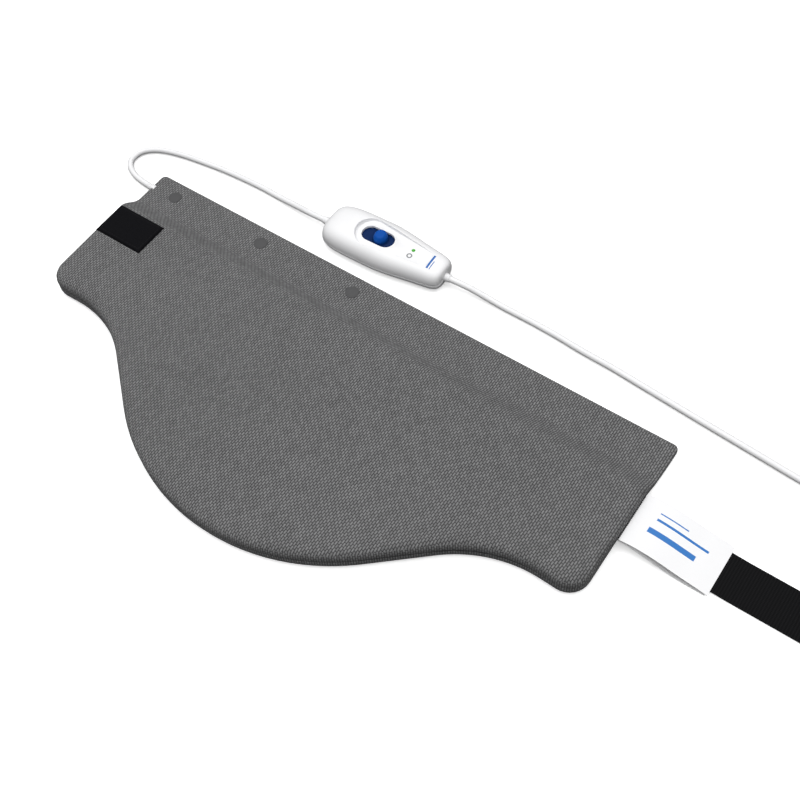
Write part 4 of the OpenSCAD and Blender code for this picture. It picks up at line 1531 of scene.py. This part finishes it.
@dataclass
class ClosingPatch:
    """The black pile patch that the strap closes on."""

    cover: PadCover
    left: float = -256.5
    right: float = -206.0
    middle: float = 54.5
    width: float = 33.5
    thickness: float = 1.6
    sewn_in: float = 3.0
    edge_round: float = 0.9
    row_dip: float = 0.35
    row_width: float = 0.7
    fold_at: float = 5.2
    fold_dip: float = 0.3
    fold_width: float = 0.9

    def place(self, x: float, y: float) -> np.ndarray:
        """A point on the cover's upper face, following its rounded left rim.

        Args:
            x: the place in X, in mm.
            y: the place in Y, in mm.

        Returns:
            The point in mm.
        """
        edge = -self.cover.length / 2
        r = self.cover.rim_top
        drop = 0.0
        if x < edge + r:
            drop = r - math.sqrt(max(r * r - (edge + r - x) ** 2, 0.0))
        inner = max(x, edge + r + 1.5)
        return np.array([x, y, self.cover.height(inner, y) - drop])

    def build(self) -> None:
        """Builds the patch, its sewn edge and two cross rows of stitching."""
        xs = np.linspace(self.left, self.right, 40)
        ys = np.linspace(-self.width / 2, self.width / 2, 25)
        top = np.zeros((len(ys), len(xs), 3))
        for j, y in enumerate(ys):
            for i, x in enumerate(xs):
                p = self.place(x, self.middle + y)
                edge = min(x - self.left, self.right - x, self.width / 2 - abs(y))
                puff = self.thickness * min(1.0, math.sqrt(max(edge, 0.0) / self.edge_round))
                rows = min(
                    abs(x - self.left - self.sewn_in),
                    abs(x - self.right + self.sewn_in),
                    abs(self.width / 2 - abs(y) - self.sewn_in),
                )
                rib = self.row_dip * math.exp(-((rows / self.row_width) ** 2))
                off_fold = (abs(y) - self.fold_at) / self.fold_width
                fold = self.fold_dip * math.exp(-(off_fold**2))
                p[2] += puff - rib - fold + 0.05
                top[j, i] = p
        surface = Surface()
        uv = top[:, :, :2] * MM
        surface.grid(top, uv)
        low = top.copy()
        for j in range(len(ys)):
            for i in range(len(xs)):
                low[j, i, 2] = self.place(xs[i], self.middle + ys[j])[2] - 0.15
        surface.grid(low, uv, flip=True)
        for strip in (np.s_[0, :], np.s_[-1, :], np.s_[:, 0], np.s_[:, -1]):
            wall = np.stack([low[strip], top[strip]])
            surface.grid(wall, wall[:, :, :2] * MM)
        dress(surface.object("closing_patch_pile"), Body.PAD, "patch_black", ["closing_patch"])
        thread = Surface()
        lift = (0, 0, self.thickness - 0.2)
        left, right = self.left + self.sewn_in, self.right - self.sewn_in
        half = self.width / 2 - self.sewn_in
        rows = [[(x, y) for x in np.linspace(left, right, 30)] for y in (-half, half)]
        rows += [[(x, y) for y in np.linspace(-half, half, 20)] for x in (left, right)]
        for row in rows:
            stitches(thread, np.array([self.place(x, self.middle + y) + lift for x, y in row]))
        dress(thread.object("patch_thread"), Body.PAD, "thread_black", ["patch_stitching"])


# ---------------------------------------------------------------- strap and label


@dataclass
class WaistStrap:
    """The strap sewn into the right side seam, with its closing tab and label."""

    sewn_x: float = 260.4
    seam_x: float = 262.6
    seam_z: float = 9.6
    middle: float = 54.5
    width: float = 35.0
    length: float = 600.0
    thickness: float = 1.4
    drop: float = 52.0
    floor_z: float = 0.75
    low_z: float = 1.35
    label_length: float = 69.0
    label_width: float = 44.0
    label_thickness: float = 0.5
    label_arch: float = 4.6
    tab_length: float = 60.0
    tab_thickness: float = 1.4
    tack_x: float = 259.9
    leaf_gap: float = 0.05
    bend_x: tuple[float, float] = (260.5, 275.0)

    def run(self, x: np.ndarray) -> np.ndarray:
        """Height of the strap's middle.

        Args:
            x: places along the strap, in mm.

        Returns:
            The height at each place, in mm.
        """
        past_label = smooth((x - self.seam_x - self.label_length) / 16)
        low = self.floor_z + (self.low_z - self.floor_z) * (1 - past_label)
        return low + (self.seam_z - low) * (1 - smooth((x - self.seam_x) / self.drop))

    def ribbon(
        self, name: str, x: np.ndarray, z: np.ndarray, width: float, thick: float, wave: float = 0.0
    ) -> bpy.types.Object:
        """A flat ribbon that follows heights along X.

        Args:
            name: the piece's name.
            x: places along the ribbon, in mm.
            z: height of its middle at each place.
            width: its width.
            thick: its thickness.
            wave: how far its edges wander, in mm.

        Returns:
            The ribbon's object.
        """
        path = np.column_stack([x, np.full_like(x, self.middle), z])
        cols = 14
        y = np.linspace(width / 2, -width / 2, cols)
        r = thick / 2
        top = np.column_stack([y, np.full(cols, r)])
        low = np.column_stack([y[::-1], np.full(cols, -r)])
        section = np.vstack([[(width / 2 + r * 0.3, 0.0)], top, [(-width / 2 - r * 0.3, 0.0)], low])
        sections = np.repeat(section[None], len(x), axis=0)
        if wave:
            sections[:, :, 0] *= (1 + wave / width * np.sin(x / 37.0) * 0.6)[:, None]
        surface = Surface()
        surface.sweep(path, sections)
        return surface.object(name, sharp=60.0)

    def join(self, obj: bpy.types.Object, slot: str, node: str) -> None:
        """Dresses a piece that bends from the side seam onto the strap's body.

        Args:
            obj: the piece.
            slot: its material slot.
            node: the CAD node it stands for.
        """
        dress(obj, None, slot, [node])
        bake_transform(obj)

    def build(self) -> None:
        """Builds the strap, tab, stitching, both label leaves and the seam's bar tack."""
        end = self.seam_x + self.length
        near = np.linspace(self.sewn_x, self.seam_x + 95, 60)
        x = np.concatenate([near, np.linspace(self.seam_x + 100, end, 90)])
        band = self.ribbon("waist_strap_webbing", x, self.run(x), self.width, self.thickness, 0.5)
        self.join(band, "strap_black", "strap_band")
        top = self.floor_z + self.thickness / 2
        tab_x = np.linspace(end - self.tab_length, end - 2, 30)
        tab_z = np.full(len(tab_x), top + 0.75)
        tab = self.ribbon("strap_tab_pile", tab_x, tab_z, self.width - 2, self.tab_thickness)
        dress(tab, Body.STRAP, "patch_black", ["strap_closing_tab"])
        thread = Surface()
        half = self.width / 2 - 2.5
        low, high = self.middle - half, self.middle + half
        for back in (4.0, 8.0):
            at = end - self.tab_length - back
            stitches(thread, np.array([(at, low, top + 0.1), (at, high, top + 0.1)]))
        start, z = end - self.tab_length + 3, top + 1.45
        for y in (low, high):
            stitches(thread, np.array([(start, y, z), (end - 5, y, z)]))
        dress(thread.object("strap_tab_thread"), Body.STRAP, "thread_black", ["strap_stitching"])
        lx = np.linspace(self.sewn_x, self.seam_x + self.label_length, 44)
        share = np.clip((lx - self.seam_x) / self.label_length, 0, 1)
        over = (
            self.run(lx) + self.thickness / 2 + self.leaf_gap + self.label_thickness / 2
            + self.label_arch * np.sin(math.pi * share)
        )
        upper = self.ribbon("label_upper_tape", lx, over, self.label_width, self.label_thickness)
        self.join(upper, "label_white", "label_upper_leaf")
        ux = np.linspace(self.sewn_x, self.seam_x + self.label_length - 2, 40)
        under = self.run(ux) - self.thickness / 2 - self.leaf_gap - self.label_thickness / 2
        lower = self.ribbon("label_lower_tape", ux, under, self.label_width, self.label_thickness)
        self.join(lower, "label_white", "label_lower_leaf")
        self.bar_tack()

    def bar_tack(self) -> None:
        """Builds the dense stitching that closes the side seam over strap and label."""
        thread = Surface()
        half = self.label_width / 2
        for z in (self.seam_z + 1.7, self.seam_z - 1.6):
            row = np.array([(self.tack_x, self.middle + y, z) for y in (-half, half)])
            stitches(thread, row, lift=(1, 0, 0), pitch=1.7, length=1.5, radius=0.35)
        dress(thread.object("side_seam_bar_tack"), Body.PAD, "thread_black", ["strap_anchor"])


# ---------------------------------------------------------------- controller


@dataclass
class Controller:
    """The inline controller: pebble-shaped shells, a recess, a slider and its lamp."""

    place: tuple[float, float] = (-37.0, 163.2)
    turn: float = 2.0
    length: float = 120.0
    width: float = 46.0
    tail_width: float = 34.0
    head: float = 57.5
    high: float = 24.0
    drop: float = 3.0
    split: float = 8.5
    recess_radius: float = 15.0
    recess_tail_radius: float = 8.5
    recess_x: float = -13.0
    recess_tail_x: float = 38.0
    floor_top: float = 20.0
    well_x: float = -7.0
    well_length: float = 31.0
    well_width: float = 16.0
    knob_x: float = -4.5
    knob_top: float = 26.0
    plate_top: float = 17.7
    lamp: tuple[float, float] = (27.0, 2.5)
    knob_half: tuple[float, float] = (5.6, 6.3)
    plate_half: tuple[float, float] = (23.5, 9.9)
    upper_powers: tuple[float, float] = (3.03, 0.4)
    lower_powers: tuple[float, float] = (3.03, 0.31)
    rays: int = 168

    def world(self, points: np.ndarray) -> np.ndarray:
        """Turns points of the controller's own frame into the pad's frame.

        Args:
            points: points in mm, their coordinates in the last axis.

        Returns:
            The points in the pad's frame, in mm.
        """
        a = math.radians(self.turn)
        c, s = math.cos(a), math.sin(a)
        p = np.asarray(points, float)
        out = p.copy()
        out[..., 0] = self.place[0] + c * p[..., 0] - s * p[..., 1]
        out[..., 1] = self.place[1] + s * p[..., 0] + c * p[..., 1]
        return out

    def ends(self, x: np.ndarray, round_power: float, square_power: float) -> np.ndarray:
        """Falls from 1 to 0 at both ends.

        Args:
            x: places along the length, in mm.
            round_power: how square the wide end is.
            square_power: how square the tail end is.

        Returns:
            The share of the full size left at each place.
        """
        reach = np.where(x < 0, self.head, self.length / 2)
        power = np.where(x < 0, round_power, square_power)
        return np.maximum(1 - np.abs(x / reach) ** power, 0) ** (1 / power)

    def half_width(self, x: np.ndarray) -> np.ndarray:
        """Half width of the body along its length."""
        w = self.width / 2 - (self.width - self.tail_width) / 2 * smooth((x + 4) / 56)
        return w * self.ends(x, 5.0, 6.0)

    def crown(self, x: np.ndarray) -> np.ndarray:
        """Height of the crown over the split line along its length."""
        h = self.high - self.split - self.drop * smooth((x + 8) / 60)
        return h * self.ends(x, 4.6, 7.0)

    def share(self, x: np.ndarray, y: np.ndarray) -> np.ndarray:
        """How far out a place is, from 0 on the middle line to 1 on the outline."""
        return np.clip(np.abs(y) / np.maximum(self.half_width(x), 1e-6), 0, 1)

    def upper(self, x: np.ndarray, y: np.ndarray) -> np.ndarray:
        """Height of the upper shell."""
        across, fall = self.upper_powers
        return self.split + self.crown(x) * (1 - self.share(x, y) ** across) ** fall

    def lower(self, x: np.ndarray, y: np.ndarray) -> np.ndarray:
        """Height of the lower shell's outside.

        Args:
            x: places along the controller, in mm.
            y: places across it, in mm.

        Returns:
            The height at each place, in mm.
        """
        across, fall = self.lower_powers
        base = (self.split - 0.1) * self.ends(x, 6.0, 9.0)
        return self.split - base * (1 - self.share(x, y) ** across) ** fall

    def directions(self) -> np.ndarray:
        """Directions from the well's middle to even steps of the body's outline.

        Returns:
            The directions, one row each.
        """
        span = (self.length / 2 + self.head) / 2
        x = self.length / 2 - span + span * np.cos(np.linspace(0, math.pi, 1200))
        y = self.half_width(x)
        full = np.column_stack([np.concatenate([x, -x[1:]]), np.concatenate([y, -y[::-1][1:]])])
        along = run_length(full)
        at = np.linspace(0, along[-1], self.rays, endpoint=False)
        p = np.column_stack([np.interp(at, along, full[:, 0]), np.interp(at, along, full[:, 1])])
        return unit(p - (self.well_x, 0.0))

    def reach(
        self, inside: Callable[[np.ndarray, np.ndarray], np.ndarray], d: np.ndarray
    ) -> np.ndarray:
        """Distance from the well's middle to where a shape ends.

        Args:
            inside: function that is true inside the shape.
            d: directions, one row each.

        Returns:
            The distances in mm.
        """
        low, high = np.zeros(len(d)), np.full(len(d), 80.0)
        for _ in range(40):
            mid = (low + high) / 2
            ok = inside(self.well_x + d[:, 0] * mid, d[:, 1] * mid)
            low, high = np.where(ok, mid, low), np.where(ok, high, mid)
        return low

    def in_body(self, x: np.ndarray, y: np.ndarray) -> np.ndarray:
        """Whether a place is inside the body's outline."""
        return (np.abs(y) < self.half_width(x)) & (x > -self.head) & (x < self.length / 2)

    def in_recess(self, x: np.ndarray, y: np.ndarray) -> np.ndarray:
        """Whether a place is inside the recessed panel.

        Args:
            x: places along the controller, in mm.
            y: places across it, in mm.

        Returns:
            One true or false for each place.
        """
        run = self.recess_tail_x - self.recess_x
        tilt = (self.recess_radius - self.recess_tail_radius) / run
        up = math.sqrt(1 - tilt * tilt)
        along = (x - self.recess_x) * up - np.abs(y) * tilt
        t = np.clip(along / (run * up), 0, 1)
        cx = self.recess_x + run * t
        r = self.recess_radius + (self.recess_tail_radius - self.recess_radius) * t
        return np.hypot(x - cx, y) < r

    def in_well(self, x: np.ndarray, y: np.ndarray) -> np.ndarray:
        """Whether a place is inside the slider's well.

        Args:
            x: places along the controller, in mm.
            y: places across it, in mm.

        Returns:
            One true or false for each place.
        """
        half = (self.well_length - self.well_width) / 2
        cx = np.clip(x - self.well_x, -half, half)
        return np.hypot(x - self.well_x - cx, y) < self.well_width / 2

    def at(self, d: np.ndarray, distance: np.ndarray, z: np.ndarray | float) -> np.ndarray:
        """Points at a distance along each direction.

        Args:
            d: directions.
            distance: distance along each, in mm.
            z: height, or one for each.

        Returns:
            The points in the pad's frame, in mm.
        """
        x = self.well_x + d[:, 0] * distance
        y = d[:, 1] * distance
        return self.world(np.column_stack([x, y, np.broadcast_to(z, x.shape)]))

    def profile(
        self,
        d: np.ndarray,
        near: np.ndarray,
        far: np.ndarray,
        height: Callable[[np.ndarray, np.ndarray], np.ndarray],
        rings: int,
    ) -> list[np.ndarray]:
        """Rings spaced evenly along the surface between two distances.

        Args:
            d: directions.
            near: distance of the first ring.
            far: distance of the last ring.
            height: the surface's height at a place.
            rings: number of rings less one.

        Returns:
            The rings, each a row of points in the pad's frame.
        """
        t = 1 - (1 - np.linspace(0, 1, 500)) ** 3
        rho = near[:, None] + (far - near)[:, None] * t
        x = self.well_x + d[:, :1] * rho
        y = d[:, 1:] * rho
        z = height(x, y)
        z[:, -1] = self.split
        steps = np.hypot(np.diff(rho, axis=1), np.diff(z, axis=1))
        length = np.concatenate([np.zeros((len(d), 1)), np.cumsum(steps, axis=1)], axis=1)
        out = []
        for k in range(rings + 1):
            want = length[:, -1] * k / rings
            r = np.array([np.interp(want[i], length[i], rho[i]) for i in range(len(d))])
            h = np.array([np.interp(want[i], length[i], z[i]) for i in range(len(d))])
            out.append(self.at(d, r, h))
        return out

    def skin(self, surface: Surface, rings: list[np.ndarray]) -> None:
        """Adds closed rings of points to a surface.

        Args:
            surface: the surface.
            rings: rings of points in mm, all of one length.
        """
        pts = np.array(rings)
        uv = np.zeros((pts.shape[0], pts.shape[1] + 1, 2))
        uv[:, :-1] = pts[:, :, :2] * MM
        uv[:, -1] = pts[:, 0, :2] * MM
        surface.grid(pts, uv, closed=True)

    def build(self) -> None:
        """Builds both shells, the slider, the lamp, the prints and the bushings."""
        d = self.directions()
        body = self.reach(self.in_body, d)
        recess = self.reach(self.in_recess, d)
        well = self.reach(self.in_well, d)
        top_shell = Surface()
        edge_z = self.upper(self.well_x + d[:, 0] * recess, d[:, 1] * recess)
        wall = edge_z - self.floor_top
        panel = self.floor_top
        lip = ((0.0, -2.0), (0.0, 0.05), (0.15, 0.3), (0.55, 0.38), (1.0, 0.3), (1.25, 0.0))
        rings = [self.at(d, well + out, panel + z) for out, z in lip]
        rings += [
            self.at(d, well + (recess - well) * 0.5, panel),
            self.at(d, recess - 1.0, panel),
            self.at(d, recess - 0.45, panel + 0.12 * wall),
            self.at(d, recess - 0.2, panel + 0.5 * wall),
            self.at(d, recess - 0.05, edge_z - 0.35),
            self.at(d, recess + 0.25, edge_z - 0.08),
        ]
        rings += self.profile(d, recess + 0.7, body, self.upper, 26)[:-1]
        groove = ((0.0, 0.45), (0.25, 0.22), (1.0, 0.15))
        rings += [self.at(d, body - dip, self.split + z) for dip, z in groove]
        self.skin(top_shell, rings)
        piece = top_shell.object("controller_upper_shell", sharp=70.0, turn_out=False)
        dress(piece, Body.PAD, "shell_white", ["upper_shell"])
        base = Surface()
        under = self.profile(d, np.full(len(d), 0.6), body, self.lower, 24)
        rings = [self.at(d, body - dip, self.split - z) for dip, z in groove[::-1]]
        rings += under[::-1][1:]
        self.skin(base, rings)
        base.cap(rings[-1], flip=True)
        piece = base.object("controller_lower_shell", sharp=70.0, turn_out=False)
        dress(piece, Body.PAD, "shell_white", ["lower_shell"])
        self.slider()
        self.signs()
        self.bushings()

    def slider(self) -> None:
        """Builds the blue slider: a dished plate with a domed thumb knob."""
        sides = 72
        a = np.linspace(0, 2 * math.pi, sides, endpoint=False)
        ring = np.column_stack([np.cos(a), np.sin(a)])
        half_l, half_w = self.plate_half
        flat = np.copysign(half_l - half_w, ring[:, 0]) * np.minimum(1.0, np.abs(ring[:, 0]) * 2.2)
        plate = half_w * ring + np.column_stack([self.knob_x + flat, np.zeros(sides)])
        knob_l, knob_w = self.knob_half
        surface = Surface()
        rows = []
        crown = self.knob_top - self.plate_top
        for share in (0.02, 0.25, 0.45, 0.62, 0.76, 0.87, 0.94, 0.98, 1.0):
            z = self.knob_top - 0.15 - 0.9 * share**2 - 2.4 * max(share - 0.62, 0) ** 2 * 6
            dish = 0.55 * math.exp(-((share / 0.45) ** 2))
            rows.append((knob_l * share, knob_w * share, z - dish))
        foot = ((0.35, 0.45 * crown), (0.6, 0.16 * crown), (1.1, 0.4), (2.0, -0.2))
        rows.append((knob_l + 0.25, knob_w + 0.25, rows[-1][2] - 0.8))
        rows += [(knob_l + grow, knob_w + grow, self.plate_top + z) for grow, z in foot]
        pts = [
            np.column_stack([self.knob_x + rx * ring[:, 0], ry * ring[:, 1], np.full(sides, z)])
            for rx, ry, z in rows
        ]
        inner = pts[-1]
        for t, z in ((0.25, -0.55), (0.55, -0.45), (1.0, 0.0)):
            mixed = inner[:, :2] + (plate - inner[:, :2]) * t
            pts.append(np.column_stack([mixed, np.full(sides, self.plate_top + z)]))
        pts.append(np.column_stack([plate, np.full(sides, self.plate_top - 1.5)]))
        world = [self.world(p) for p in pts]
        self.skin(surface, world)
        surface.cap(world[0])
        surface.cap(world[-1], flip=True)
        piece = surface.object("heat_slider_knob", sharp=75.0)
        dress(piece, Body.SLIDER, "slider_blue", ["slider_button"])

    def signs(self) -> None:
        """Builds the lamp's lens, the ring symbol beside it and a plain bar near the tail."""
        lens = Surface()
        x, y = self.lamp
        centre = self.world(np.array([x, y, self.floor_top - 0.3]))
        dome = [(0, 1.6), (0.3, 1.6), (0.42, 1.5), (0.8, 1.2), (1.0, 0.7), (1.08, 0.02)]
        lens.lathe(centre, UPWARDS, dome, 24, up=(0, 1, 0))
        dress(lens.object("lamp_lens"), Body.PAD, "lamp_green", ["indicator_led"])
        symbol = Surface()
        middle = self.world(np.array([27.0, -4.0, self.floor_top + 0.02]))
        band = [(0, 1.5), (0.06, 1.5), (0.06, 2.5), (0, 2.5), (0, 1.5)]
        symbol.lathe(middle, UPWARDS, band, 28, up=(0, 1, 0), ends=False)
        dress(symbol.object("ring_symbol"), Body.PAD, "nylon_dark", (), PRINT_GREY)
        bar = Surface()
        for x0, x1, y0, y1 in ((45.4, 47.2, -8.0, 6.5), (48.4, 49.1, -8.0, 1.0)):
            gx, gy = np.meshgrid(np.linspace(x0, x1, 5), np.linspace(y0, y1, 14))
            z = self.upper(gx, gy) + 0.05
            pts = self.world(np.stack([gx, gy, z], axis=-1))
            bar.grid(pts, pts[:, :, :2] * MM)
        piece = bar.object("plain_print_bar", turn_out=False)
        dress(piece, Body.PAD, "slider_blue", (), PRINT_BLUE)

    def bushings(self) -> None:
        """Builds the ribbed bushings where both cords enter."""
        a = math.radians(self.turn)
        for s, name, node in (
            (-1, "lead_bushing_sleeve", "lead_bushing"),
            (1, "mains_bushing_sleeve", "mains_bushing"),
        ):
            axis = np.array([s * math.cos(a), s * math.sin(a), 0.0])
            start = self.world(np.array([s * (self.length / 2 - 0.5), 0.0, self.split]))
            profile = [(-6.0, 4.0), (0.3, 4.0), (0.7, 3.8)]
            profile += ribs(start=0.8, radius=3.8, taper=0.18, groove=0.35)
            profile += [(5.1, 3.3), (5.5, 3.05)]
            surface = Surface()
            surface.lathe(start, axis, profile, 28)
            dress(surface.object(name), Body.PAD, "cord_white", [node])


@dataclass
class LeadGrommet:
    """The small moulded collar where the lead leaves the flap."""

    start: tuple[float, float, float] = (-259.0, 111.0, 3.1)

    def build(self) -> None:
        """Builds the ribbed collar."""
        profile = [(-2.0, 2.9), (0.0, 3.1), (0.8, 3.1), (1.2, 3.0)]
        profile += ribs(start=1.3, radius=3.05, taper=0.0, groove=0.2)
        profile += [(5.6, 3.0), (6.0, 2.85)]
        surface = Surface()
        surface.lathe(self.start, (-1, 0, 0), profile, 24)
        dress(surface.object("lead_collar"), Body.PAD, "cord_white", ["lead_grommet"])


def dress_cad_nodes() -> None:
    """Gives every carried-over CAD node the finish of its slot."""
    slots = {part["node"]: part["material_slot"] for part in frame["record"]["subparts"]}
    for name, obj in frame["nodes"].items():
        mat = FINISHES[slots[name]].material()
        if not obj.material_slots:
            obj.data.materials.append(mat)
        for place in obj.material_slots:
            place.material = mat
        LOG.info("CAD node %s: finish %s", name, slots[name])


def main() -> None:
    """Builds everything in order and reports each piece."""
    logging.basicConfig(level=logging.INFO, format="%(message)s")
    studio = Studio()
    studio.camera()
    dress_cad_nodes()
    Cords().build()
    cover = PadCover()
    cover.build()
    PressStuds().build()
    ClosingPatch(cover).build()
    WaistStrap().build()
    Controller().build()
    LeadGrommet().build()
    studio.light()
    studio.floor()


if __name__ == "__main__":
    main()
